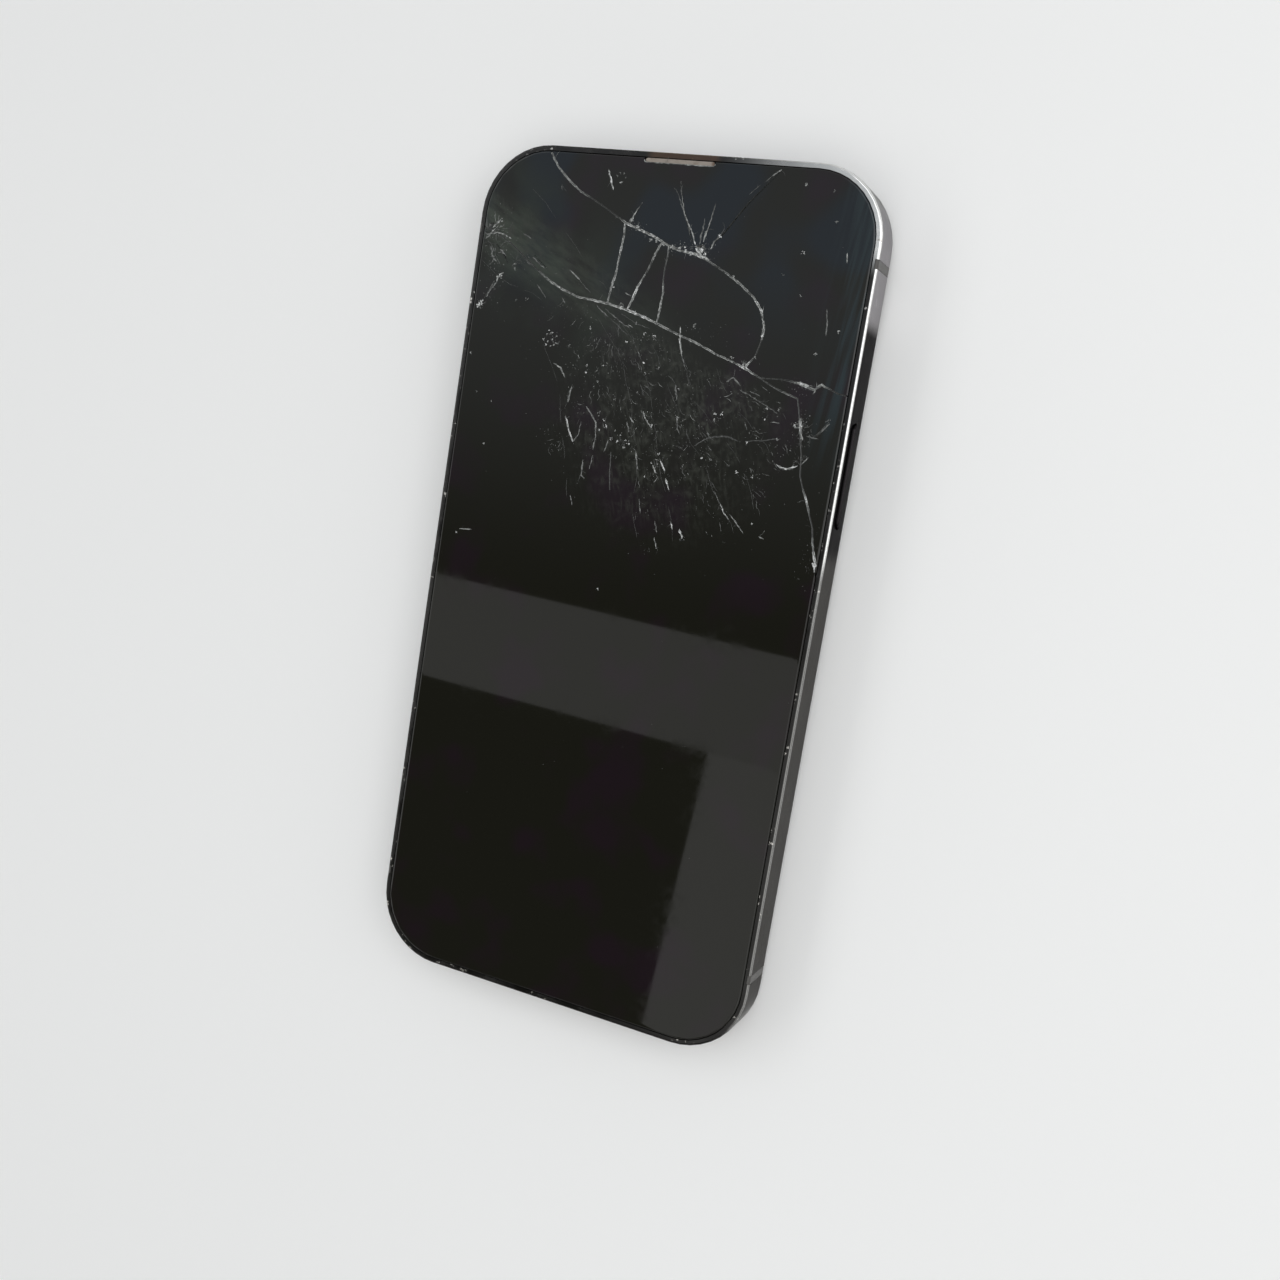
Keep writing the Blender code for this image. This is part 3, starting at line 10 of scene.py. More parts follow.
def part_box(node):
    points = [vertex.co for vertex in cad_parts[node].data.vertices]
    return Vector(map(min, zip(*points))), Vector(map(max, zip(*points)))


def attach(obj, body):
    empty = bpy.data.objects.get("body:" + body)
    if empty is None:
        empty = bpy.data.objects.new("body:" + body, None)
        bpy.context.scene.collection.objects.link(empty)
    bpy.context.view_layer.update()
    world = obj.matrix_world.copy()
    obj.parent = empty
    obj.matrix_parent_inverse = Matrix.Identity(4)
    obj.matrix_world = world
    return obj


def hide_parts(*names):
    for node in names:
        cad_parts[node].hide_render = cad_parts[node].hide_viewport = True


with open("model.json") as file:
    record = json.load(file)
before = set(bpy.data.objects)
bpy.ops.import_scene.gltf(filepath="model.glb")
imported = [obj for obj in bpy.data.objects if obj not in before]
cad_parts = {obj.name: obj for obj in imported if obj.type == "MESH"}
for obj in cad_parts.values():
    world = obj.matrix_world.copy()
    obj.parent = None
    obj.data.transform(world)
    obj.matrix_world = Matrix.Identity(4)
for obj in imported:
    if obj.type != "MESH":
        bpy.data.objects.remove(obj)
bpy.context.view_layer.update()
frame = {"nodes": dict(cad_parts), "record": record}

# The looks of the shattered phone. +X is the side of the side button, +Y the earpiece end and
# +Z comes out of the screen. Lengths are in metres, but the lists of cracks and other marks
# are in millimetres from the middle of the phone, and so is what a comment gives as such.

MM = 0.001
PHONE = "phone_body"
NODES = frame["nodes"]

# Levels and outlines read from the frame
GLASS_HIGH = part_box("cover_glass_lower")[1]
FRAME_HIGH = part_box("frame")[1]
SURFACE = GLASS_HIGH.z
HALF_WIDTH, HALF_LENGTH = FRAME_HIGH.x, FRAME_HIGH.y
BAND_MIDDLE = (FRAME_HIGH.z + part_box("antenna_band_upper_left")[0].z) / 2
HALF_BAND = FRAME_HIGH.z - BAND_MIDDLE
GLASS_INSET = FRAME_HIGH.x - GLASS_HIGH.x
BODY_CORNER = 12.0 * MM
NEARLY_LEVEL = 0.98
GLASS_NODES = sorted(n for n in NODES if n.startswith(("cover_glass", "glass_shard")))

# Camera, as found from the outline of the phone in a picture 1280 pixels across
IMAGE_SIZE = 1280
FOCAL_PIXELS = 1354.3
SENSOR_WIDTH = 36.0
CAMERA_PLACE = Vector((92.6, 21.5, 218.1)) * MM
CAMERA_RIGHT = Vector((0.905298, 0.159623, -0.393645))
CAMERA_DOWN = Vector((0.195189, -0.979399, 0.051748))

# Floor and light
FLOOR_SIZE = 3.0
FLOOR_COLOUR = (0.8, 0.8, 0.79)
BACKDROP_COLOUR = (0.965, 0.965, 0.96)
WORLD_BRIGHT = (0.46, 0.48, 0.5)
WORLD_DIM = (0.115, 0.113, 0.1)
WORLD_HORIZON = (0.75, 0.75, 0.74)

# Softboxes, as (level, left, right, near, far, height, turn in degrees): two light the phone
# from above on both sides, and two dim ones give the lower glass its sheen
SOFTBOXES = {
    "right_softbox": (0.96, -0.05, 1.15, -0.8, 0.8, 0.75, 0.0),
    "left_softbox": (1.08, -1.25, -0.55, -0.8, 0.8, 0.75, 0.0),
    "cross_panel": (0.5, -0.65, -0.05, -0.165, -0.085, 0.7, -1.5),
    "long_panel": (0.6, -0.225, -0.1, -0.55, -0.166, 0.7, -4.0),
}
SIDE_LIGHT_PLACE = Vector((0.62, 0.22, 0.34))
SIDE_LIGHT_AIM = Vector((0.0, 0.22, 0.0))
SIDE_LIGHT_SIZE = (0.47, 0.46)
SIDE_LIGHT_LEVEL = 0.95

# How broken glass stands out of the surface
RIDGE_RISE = 0.02 * MM
RIDGE_ROOT = 0.01 * MM
RIDGE_STEP = 0.45 * MM
RIDGE_JITTER = 0.045 * MM
FINE_JITTER = 0.02 * MM
HAIRLINE_WIDTH = 0.09 * MM
RIM_OVERHANG = 0.08 * MM
RIM_DROP = 0.04 * MM
RIM_ROOT = 0.12 * MM
RIM_WIDTH = 0.09 * MM
RIM_LEVEL = 0.58
CRACK_WALL_SHARE = 0.55
SPECK_LEVEL = 1.5
CRUMBS_PER_SPECK = 6
CRUMB_SCATTER = 0.24
# Brightness levels of the white broken glass, which is its own colour; the level each facet gets
# paints glints and shade
FRACTURE_SHADES = {"fracture_dim": 0.075, "fracture_grey": 0.22, "fracture_pale": 0.47,
                   "fracture_bright": 0.92}
SHADE_STEPS = (0.25, 0.5, 0.85)
RIM_MARGIN = 0.4 * MM
LIP_MARGIN = 0.35 * MM

# The steepest fold, in degrees, that still shades smoothly
SMOOTH_TRIM = 35.0
SMOOTH_NODE = 32.0
SMOOTH_MARK = 20.0
SMOOTH_BROKEN = 2.0

# Under each rear lens cover: the domed front element, and the stepped ring around it as
# (radius, depth) in millimetres
DOME_RADIUS = 1.9 * MM
DOME_HEIGHT = 0.12 * MM
DOME_SUNK = 0.2 * MM
DOME_SIDES, DOME_RINGS = 40, 8
BAFFLE_PROFILE = [(1.95, 0.0), (1.95, 0.12), (2.5, 0.12), (2.5, 0.24), (3.2, 0.24), (3.2, 0.0)]
BAFFLE_SIDES = 48

# Gold strips on the tongue of the charging port
CONTACTS_PER_FACE = 12
CONTACT_MARGIN = 0.3 * MM
CONTACT_THICKNESS = 0.04 * MM

# Nodes that get a smoother copy, with the width of its soft edges in millimetres
SOFT_EDGES = {
    "frame": 0, "camera_island": 0, "back_glass": 0, "volume_up_button": 0,
    "volume_down_button": 0, "side_button": 0, "antenna_band_upper_left": 0,
    "antenna_band_lower_left": 0, "antenna_band_upper_right": 0, "antenna_band_lower_right": 0,
    "lens_ring_upper": 0.03, "lens_ring_lower": 0.03, "lens_cover_upper": 0.03,
    "lens_cover_lower": 0.03, "bottom_screw_left": 0.04, "bottom_screw_right": 0.04,
    "port_shell": 0.04, "port_tongue": 0.04, "flash_lens": 0.05, "earpiece_mesh": 0.05,
    "ring_switch": 0.08, "sim_tray": 0.08,
}

# A wave texture with this scale repeats once a metre
WAVE_SCALE = 0.314

# Cracks that end inside a piece of glass, as (brightness, width, x, y, x, y, ...)
CRACKS = [
    (0.8, 0.42, -12.5, 69.5, -11.8, 67.9, -11.1, 66.3), (0.95, 0.5, -7, 61.3, -6.7, 62.4),
    (1, 0.55, 5.2, 58.1, 6, 57.3, 7.9, 56.4), (0.22, 0.2, 12.9, 67.2, 14.5, 68.8),
    (0.3, 0.22, 15.2, 69.3, 16.2, 70.3), (0.55, 0.32, 16.2, 70.3, 17.7, 71.4),
    (0.65, 0.3, 30.6, 59.5, 30.8, 58), (0.3, 0.35, 28.9, 50.7, 29.3, 48.8, 29.5, 46.6),
    (0.3, 0.22, -20.8, 66.5, -20.6, 65.6), (0.55, 0.5, -33, 58.4, -32.3, 59.3, -31.6, 59.9),
    (0.5, 0.4, -34.4, 57.5, -33.8, 57.2, -31.8, 57.7, -30.1, 57.3, -29, 56.8),
    (0.45, 0.4, -34.2, 56.4, -33.2, 57.4, -32.4, 58.3), (0.25, 0.4, -26.8, 57.9, -25.1, 57.1),
    (0.35, 0.5, -32.8, 55.3, -32.2, 53.6, -31.3, 52.8), (0.45, 0.35, -30.9, 54.9, -29.5, 53.8),
    (0.8, 0.4, -29.6, 51, -30.6, 50.2, -30.7, 49.3),
    (0.6, 0.35, -30.7, 49.3, -31.7, 47.8, -32.3, 46.6),
    (0.3, 0.35, -24.3, 54.1, -22.9, 53.2, -21.5, 52.3), (0.2, 0.3, -25.8, 53.6, -24.4, 52.8),
    (0.6, 0.24, -16.8, 52.6, -15.7, 51.8, -14.5, 50.9), (0.25, 0.2, -14.2, 50.6, -12.4, 49.2),
    (0.25, 0.3, -22.8, 49.7, -21.7, 48.6, -20.7, 47.6), (0.35, 0.25, -17.6, 47.9, -16.8, 47),
    (0.35, 0.3, -10.9, 47.4, -9.6, 46.3, -8.4, 45.6),
    (0.3, 0.25, -9.2, 46.9, -6.4, 45.2, -4.2, 44.2), (0.55, 0.3, -4.6, 44.7, -3.6, 44.3),
    (0.2, 0.2, -7.9, 45.4, -6, 44.1, -4.4, 43), (0.2, 0.2, -6.2, 46.4, -3, 45, -0.6, 44.5),
    (0.45, 0.3, -6, 49.9, -4.9, 49.4), (0.75, 0.35, 4.8, 45.4, 5.1, 43.1, 5.9, 40.7),
    (0.3, 0.25, 5.9, 40.7, 6.8, 38.9), (0.55, 0.3, 29, 37.4, 29.5, 38.6, 30.1, 39.1, 31.2, 38.6),
    (1, 0.5, 26.2, 38.9, 27.2, 38.8, 28.2, 38.6),
    (0.55, 0.35, -17.3, 36.9, -15.8, 36.3, -14.9, 34.8),
    (0.45, 0.4, -13.2, 33.4, -13.4, 32, -13.5, 30.7),
    (0.9, 0.42, -13.5, 28.4, -12.6, 26.3, -11.4, 24.2),
    (0.35, 0.3, -11.4, 24.2, -10.6, 25.6, -10.5, 27.8), (0.45, 0.3, -11.7, 30.7, -10.8, 30.6),
    (0.5, 0.34, -9.9, 30.4, -8.8, 29.2, -7.7, 28.1, -7.3, 25.7, -7.5, 23.4),
    (0.4, 0.35, -7.3, 22.5, -7.6, 20.1), (0.35, 0.35, -9.1, 21.3, -8.9, 18.9, -8.2, 18.4),
    (0.4, 0.3, -10.4, 15.2, -9.8, 13.6), (0.7, 0.4, -1.7, 29.8, -0.8, 28.9),
    (0.45, 0.35, -2, 28.9, -1.4, 27.2), (0.65, 0.38, 0.6, 31, 1.2, 29.8, 2.4, 28.6),
    (0.45, 0.35, -4.9, 25.4, -5.4, 23.4), (0.15, 0.3, -4.1, 23.6, -3.5, 18.9, -3.2, 17.2),
    (0.45, 0.4, 0.4, 24.2, 0.9, 22.5, 1.2, 21.3), (0.35, 0.3, 1.8, 19.5, 2.1, 18.4),
    (0.25, 0.3, 2.4, 16.6, 3, 14.2), (0.7, 0.38, 3.9, 22.5, 4.5, 21.3),
    (0.9, 0.42, 5.1, 23.4, 6.2, 21.8), (0.85, 0.42, 6.5, 20.7, 7.4, 18.9),
    (0.45, 0.35, 5.9, 13.4, 6.5, 11.6), (0.55, 0.35, 6.2, 10.7, 6.9, 8.9),
    (0.8, 0.38, 8.7, 13.6, 9.2, 12.5), (1, 0.62, 10.4, 12.8, 11.1, 11.3),
    (0.3, 0.5, 5.6, 36, 5.9, 34.8, 6.2, 33.6), (0.4, 0.35, 6.8, 31, 7.1, 28.9, 7.7, 28.1),
    (0.2, 0.4, 10.6, 26.6, 12.1, 27.8, 13.9, 28.6, 16.2, 28.9, 18, 28.4),
    (0.2, 0.3, 19.2, 28.6, 22.7, 29.2, 25, 29.8),
    (0.4, 0.45, 14.3, 37.6, 15.4, 38.4, 16.8, 37.2), (0.3, 0.3, 18.6, 36.6, 20.4, 36),
    (0.25, 0.3, 16.8, 36.6, 21.6, 34.7, 23.8, 33.7), (0.4, 0.3, 23, 32.2, 24.5, 32.2),
    (0.35, 0.3, 18.6, 31.6, 19.2, 30.4), (0.75, 0.36, 16.8, 17.9, 17.7, 16.6, 18.6, 15.7),
    (0.45, 0.3, 18.6, 16.6, 20, 15.4, 21.5, 13.9), (0.25, 0.2, 15.4, 19.9, 16.7, 18),
    (0.6, 0.36, 24.2, 13.9, 25.1, 13.6),
    (0.8, 0.42, 25.1, 25.7, 25.9, 25.3, 27.4, 25.3, 28.6, 26),
    (0.5, 0.32, 30.1, 27.5, 29.2, 26.3), (0.75, 0.5, 28, 31.3, 28.7, 30.1),
    (0.5, 0.32, 29.2, 30.8, 31.2, 30.6), (0.5, 0.36, 31.8, 33.4, 32.4, 33.9),
    (0.3, 0.3, 31.4, 31.6, 32.6, 33.2), (0.7, 0.3, -31, 6, -29.7, 6.2, -28.5, 6.3),
]

# Cracks that fade towards their far ends, listed as the cracks are
RAYS = [
    (0.8, 0.42, 5.1, 58.7, 4.1, 60.7, 2.3, 63.4, 0.8, 67.8), (0.35, 0.3, 2.1, 63.8, 0.2, 67.2),
    (0.5, 0.5, 5.8, 58.8, 6, 61.2, 6, 63), (0.7, 0.42, 6.4, 59.2, 7, 62.4, 7.5, 65.5),
    (0.75, 0.42, 7.9, 58.2, 8.2, 59.3, 9.1, 60.3, 9.7, 61.7),
    (0.75, 0.4, -6.7, 62.2, -6.2, 63.4, -5.7, 64.2),
]

# Stars of short splinters, as (x, y, rays, shortest, longest, brightness)
STARS = [
    (5.9, 57.8, 10, 0.4, 1.5, 0.7), (-32.2, 58.4, 16, 0.8, 3.4, 0.5),
    (-31.8, 54.2, 14, 0.8, 3.4, 0.4), (-27.5, 53.2, 8, 0.6, 2.4, 0.28),
    (-30.2, 50.4, 7, 0.4, 1.4, 0.5), (-33.2, 45.3, 7, 0.4, 1.3, 0.6),
    (28, 32, 12, 0.4, 1.7, 0.6), (28.4, 26.8, 8, 0.4, 1.5, 0.35), (-5.8, 60.7, 7, 0.3, 1, 0.6),
    (16.6, 40.5, 7, 0.3, 1.1, 0.6), (4.7, 22.6, 6, 0.4, 1.2, 0.4),
    (27.2, 38.7, 7, 0.3, 1.1, 0.5), (-2, 25.3, 9, 0.4, 1.5, 0.3),
]

# Long hairlines so faint that they show only as grey threads, as (x, y, x, y, ...)
HAIRLINES = [
    (-20, 40, -15.5, 33, -14, 26, -11.5, 18, -10.6, 13),
    (-11, 46, -4.6, 39, -1.4, 31, 0.7, 23, 1.6, 14, 3.6, 9),
    (-6, 45, -1, 39, 2.4, 31, 4.4, 24, 7.6, 17, 9.6, 10.6),
    (-1, 44, 4, 36, 8.6, 29, 13, 24, 17.6, 17, 20.4, 13), (5, 42, 9, 34, 15, 29, 20, 24, 23, 17),
    (12, 40, 16, 34, 21, 30, 25, 26), (-34.6, 53, -30, 50, -25.6, 48.6, -21, 47),
    (-27, 66, -20, 60, -12, 52, -8, 49),
]

# Bright specks and pits of each (brightness, size), at x, y, x, y, ...
SPECKS = {
    (0.25, 0.4): [-10.8, 68.6, -10.3, 69.1, -9.6, 69.1, -9.2, 68.5, 20.8, 55.3],
    (0.25, 0.5): [-26.3, 46.7],
    (0.25, 0.8): [-7.4, 29.5, 7.2, 45.7],
    (0.3, 0.4): [-5.2, 31.3, -4.9, 32.2, -1.1, 33.9, 26.9, 68.7],
    (0.3, 0.5): [-14.9, 40.1, -10.2, 41.6, 2.1, 38.4, 28.1, 64.1],
    (0.3, 0.6): [-24.2, 47],
    (0.4, 0.4): [-12.9, 38.6, 9.2, 23.1, 18.5, 41.9, 23.9, 34.2, 24.2, 52.3],
    (0.4, 0.5): [-27.6, 52.6, -27.4, 51.8],
    (0.5, 0.4): [-19.2, 42.2, -19, 40.4, -17.8, 39.8, 6.2, 35.4, 13.3, 31.3],
    (0.5, 0.5): [-8.5, 34.8, -3.8, 27.2, -2.9, 26.6, -1.9, 24.5, 12.5, 54.2, 28.3, 43.7,
        31.3, 47.5],
    (0.5, 0.6): [14.5, 41.6, 23.5, 58.9],
    (0.5, 0.7): [-3, 58.8, -1.8, 58.6, -0.6, 58.3, 1, 58],
    (0.5, 0.9): [-31.7, 59.7],
    (0.6, 0.3): [-31.5, 30.3, -28.3, 29],
    (0.6, 0.4): [-19.9, 40.7, -19.4, 41.6, -19.3, 39.8, -18.5, 39.6, -18.2, 40.7, -17.6, 41.3,
        -7.9, 37.6, -3.2, 45.1, -0.2, 37.2, 3.6, 22.8, 22.7, 15.7],
    (0.6, 0.5): [-18.5, 41.9, -17.4, 40.3, -4.4, 25.7, -4.4, 41.9, -3.2, 25.4, 0.6, 43.4,
        21.4, 23.1, 21.8, 34.2],
    (0.6, 0.6): [22.2, 69.4],
    (0.7, 0.4): [-33.8, 36.7, -31.5, 5.3, 4.5, 23.4],
    (0.7, 0.5): [-11.4, 43.4, -11.1, 37.2, -6.9, 26.9, -6.2, 28.6, -1.7, 25.7, -1.4, 43.6,
        13.3, 32.2, 24.5, 29.6],
    (0.7, 0.8): [-30.2, 50.4, 2.4, 57.9, 3.6, 57.6],
    (0.8, 0.4): [-28.5, 21.5],
    (0.8, 0.5): [-9.9, 67.6, -6.9, 61.5, -3.6, 46.7, -1.1, 25.3, 6.8, 30.8, 19.1, 45.5,
        21.8, 32.5],
    (0.9, 0.4): [2.7, 20.4],
    (0.9, 0.5): [-18.4, 49.6, -8.4, 50.6, -2.5, 0.3, -2.1, 46.3, -0.8, 38.9, 2.4, 28.9,
        12.3, 24.9, 14.5, 32.4, 18.2, 49.5, 18.6, 23.5, 19.5, 28.4, 26.9, 32.2],
    (0.9, 0.6): [-11.1, 36.1, 9.1, 60.4],
    (0.9, 0.7): [-5.6, 60.7],
    (1, 0.5): [-5.7, 27.6, 4.6, 24.4],
    (1, 0.6): [4.5, 57, 6.9, 57.3, 31.1, 20.7],
    (1, 0.7): [-6.5, 47.3, 16.6, 40.5],
    (1, 0.8): [28, 32, 34.1, 11],
    (1, 0.9): [-33.7, 45, -33.3, 45.3, -33, 45.6, 6.1, 57.9],
}

# Clouds of fine glass dust and chips, as (how many, brightness, x, y, spread x, spread y)
CLOUDS = [
    (130, 0.5, 6, 58, 1.3, 0.9), (240, 0.4, -32, 56.8, 2, 3), (80, 0.35, -31, 48.5, 1.3, 2.2),
    (110, 0.5, 28.3, 31, 1, 2.2), (60, 0.4, 27.4, 38.4, 1.8, 0.7),
    (40, 0.4, -18.7, 40.7, 0.8, 0.8), (150, 0.5, 2.3, 57.9, 1.3, 0.35), (150, 0.2, -4, 34, 8, 7),
    (200, 0.2, 8, 27, 9, 8), (90, 0.2, 20, 28, 5, 7), (110, 0.2, -24, 52, 6, 3),
    (60, 0.4, -6.4, 60.6, 1.2, 0.6), (130, 0.18, 0, 20, 26, 34), (60, 0.3, 33.2, 12, 0.8, 3),
    (170, 0.27, -11.5, 40.5, 5.5, 2.6), (140, 0.3, -1, 33, 5, 5), (130, 0.27, 8, 37, 7, 2.6),
    (110, 0.28, 13, 24, 5.5, 5), (60, 0.3, -17, 45.5, 3, 1.2), (40, 0.3, 9.5, 45, 3, 1),
]
SMALLEST_CHIP, LARGEST_CHIP = 0.08 * MM, 0.34 * MM

# Clumps of specks and short scratches, listed as the clouds are, and where they spread from
FAN_CENTRE = (-10.0, 50.0)
FANS = [
    (20, 0.28, -10, 38, 5, 4.5), (30, 0.3, -1, 34, 6, 6), (28, 0.28, 9, 29, 6.5, 7),
    (22, 0.3, 18, 29, 5, 6), (6, 0.35, -12.5, 28, 1.6, 4), (8, 0.4, -3, 27.5, 2, 2.5),
    (9, 0.45, 4.6, 21, 1.8, 3), (6, 0.35, 17.5, 18, 3, 3), (8, 0.35, 26, 29, 2.2, 4),
    (8, 0.3, 19, 36, 4, 1.2), (8, 0.25, -6, 44, 4, 1.4),
]

# Painted glints and painted shade: where the edges of the through cracks are painted
# brighter or dimmer in place of catching more or less light, as (x, y, reach, change)
PAINTED_CRACK_GLINTS = [
    (-6.5, 47.2, 1.8, 0.5), (-2, 46.4, 1.4, 0.5), (-4, 46.9, 2.4, 0.3), (-10.5, 47.8, 3, 0.15),
    (5.5, 57.5, 1.8, 0.6), (-3, 59.5, 3.5, 0.3), (2.3, 57.8, 2, -0.1), (-7.9, 60.9, 1.8, 0.5),
    (-8, 57, 3, 0.25), (-8.3, 52, 3, 0.25), (-2, 56.2, 2.6, 0.3), (-4, 51, 3, 0.25),
    (0.4, 54, 4.6, -0.5), (18.4, 49.2, 2.2, 0.4), (19.1, 46, 1.8, 0.4), (9.5, 55.5, 3.4, -0.25),
    (16.7, 40.4, 1.4, 0.5), (28, 32, 1.8, 0.6), (31, 21, 1.6, 0.5), (34.2, 10.8, 2.4, 0.5),
    (27, 38.8, 2, 0.7), (-12.4, 63.6, 5.6, -0.85), (-29, 55.8, 9, -0.95),
    (-24.4, 53.4, 3.6, -0.45), (18.6, 43.2, 2.8, -0.8), (33.8, 37.4, 4.2, -0.9),
    (28, 35.4, 3, -0.8), (28.8, 28.2, 3, -0.7), (29.6, 24.4, 3.6, -1), (32.2, 17.2, 3.8, -0.55),
    (12.5, 65, 10, -1), (17.6, 71.2, 1.2, -0.4), (22.6, 39.9, 5.6, -0.6),
]

# The line that the haze in the glass follows: its slant, and its distance from the middle
HAZE_SLANT = math.radians(-25.6)
HAZE_LINE = 39.2 * MM

# The long crack, in millimetres: just below its height at the middle, and its fall to the right
LONG_CRACK_HEIGHT = 44.0
LONG_CRACK_FALL = 0.385


class NodeTree:
    """The nodes of a finish or the world, with short calls for the kinds used here. Texture
    sizes and the depth of a bump are in millimetres."""

    def __init__(self, owner, surface, coordinate):
        owner.use_nodes = True
        self.nodes = owner.node_tree.nodes
        self.links = owner.node_tree.links
        self.surface = self.nodes[surface]
        self.place = self.node("TexCoord").outputs[coordinate]

    def give(self, socket, value):
        """Sets an input of the surface, or links a node's output to it."""
        self._put(self.surface.inputs[socket], value)

    def _put(self, socket, value):
        if isinstance(value, bpy.types.NodeSocket):
            self.links.new(value, socket)
        elif isinstance(value, tuple) and len(value) == 3 and socket.type == "RGBA":
            socket.default_value = (*value, 1.0)
        else:
            socket.default_value = value

    def node(self, kind, inputs=(), **settings):
        """A new node with these settings, and a value or a link for each input named."""
        node = self.nodes.new(f"ShaderNode{kind}")
        for name, value in settings.items():
            setattr(node, name, value)
        for socket, value in dict(inputs).items():
            self._put(node.inputs[socket], value)
        return node

    def noise(self, size, detail=2.0, stretch=None, distortion=0.0):
        """Noise with features about that size, drawn out along an axis."""
        place = self.vector("MULTIPLY", stretch) if stretch else self.place
        return self.node("TexNoise", {"Vector": place, "Scale": 1.0 / (size * MM),
                                      "Detail": detail, "Distortion": distortion}).outputs["Fac"]

    def streaks(self, width, length, turn):
        """Noise drawn out to a length along a direction in the plane of the screen."""
        across = width * MM
        turned = self.node("Mapping", {"Vector": self.place, "Rotation": (0, 0, turn),
                                       "Scale": (length * MM, across, across)},
                           vector_type="TEXTURE")
        return self.node("TexNoise", {"Vector": turned.outputs[0], "Scale": 1.0,
                                      "Detail": 3.0}).outputs["Fac"]

    def cells(self, size, output="Distance"):
        node = self.node("TexVoronoi", {"Vector": self.place, "Scale": 1.0 / (size * MM)})
        return node.outputs[output]

    def wave(self, pitch, place, **settings):
        """Waves a pitch apart."""
        return self.node("TexWave", {"Vector": place, "Scale": WAVE_SCALE / (pitch * MM)},
                         **settings).outputs["Fac"]

    def rings(self, pitch, centre):
        """Concentric rings about an upright axis through the centre."""
        return self.wave(pitch, self.vector("SUBTRACT", centre), wave_type="RINGS",
                         rings_direction="Z")

    def bands(self, pitch, direction):
        return self.wave(pitch, self.place, wave_type="BANDS", bands_direction=direction)

    def vector(self, operation, other, output="Vector"):
        """The place on the piece, combined with another vector."""
        node = self.node("VectorMath", {0: self.place, 1: other}, operation=operation)
        return node.outputs[output]

    def axis(self, name):
        return self.node("SeparateXYZ", {0: self.place}).outputs[name]

    def away(self, axis_name, middle):
        """The distance from a level on an axis."""
        return self.math("ABSOLUTE", self.math("SUBTRACT", self.axis(axis_name), middle))

    def math(self, operation, a, b=0.0):
        return self.node("Math", {0: a, 1: b}, operation=operation).outputs[0]

    def times(self, a, b):
        return self.math("MULTIPLY", a, b)

    def between(self, value, low, high, at_low=0.0, at_high=1.0):
        """The value from low to high, smoothly remapped and held at both ends."""
        inputs = enumerate((value, low, high, at_low, at_high))
        return self.node("MapRange", inputs, interpolation_type="SMOOTHSTEP").outputs[0]

    def ramp(self, axis_name, *levels):
        """As between, for the place along an axis."""
        return self.between(self.axis(axis_name), *levels)

    def mix(self, factor, a, b):
        """A colour from a to b."""
        return self.node("Mix", {0: factor, 6: a, 7: b}, data_type="RGBA").outputs[2]

    def colour(self, factor, a, b):
        self.give("Base Color", self.mix(factor, a, b))

    def rough(self, value, *levels):
        """The roughness follows a value, remapped as by between."""
        self.give("Roughness", self.between(value, *levels))

    def bump(self, height, distance, strength):
        node = self.node("Bump", {"Height": height, "Distance": distance * MM,
                                  "Strength": strength})
        self.give("Normal", node.outputs[0])


class Shader(NodeTree):
    """The nodes of a new material."""

    def __init__(self, name, roughness=0.5, metallic=0.0, ior=1.5):
        self.material = bpy.data.materials.new(name)
        super().__init__(self.material, "Principled BSDF", "Object")
        self.give("Roughness", roughness)
        self.give("Metallic", metallic)
        self.give("IOR", ior)


def polished_steel():
    """Dark polished coating, with painted reflections and painted highlights on the side of the
    side button, and worn through in specks.
    """
    s = Shader("polished_graphite", metallic=1)
    from_middle = s.away("Z", BAND_MIDDLE)
    on_band = s.between(from_middle, HALF_BAND + 0.02 * MM, HALF_BAND + 0.08 * MM, 1, 0)
    edge = s.between(from_middle, HALF_BAND - 0.5 * MM, HALF_BAND - 0.1 * MM)
    nicks = s.times(s.between(s.noise(0.8, 3), 0.6, 0.66), s.between(s.noise(7, 1), 0.55, 0.62))
    worn = s.times(on_band, s.times(edge, nicks))
    s.colour(worn, steel_tone(s, from_middle, on_band), (0.62, 0.6, 0.57))
    hair = s.noise(0.12, 3, (0.06, 0.06, 1))
    smear = s.between(s.noise(5, 3), 0.3, 0.7, 0.13, 0.26)
    s.give("Roughness", s.math("ADD", smear, s.between(hair, 0.45, 0.75, 0, 0.1)))
    s.give("Specular Tint", (0.45, 0.45, 0.45))
    s.bump(s.math("SUBTRACT", hair, s.times(worn, 1.5)), 0.006, 0.5)
    return s.material


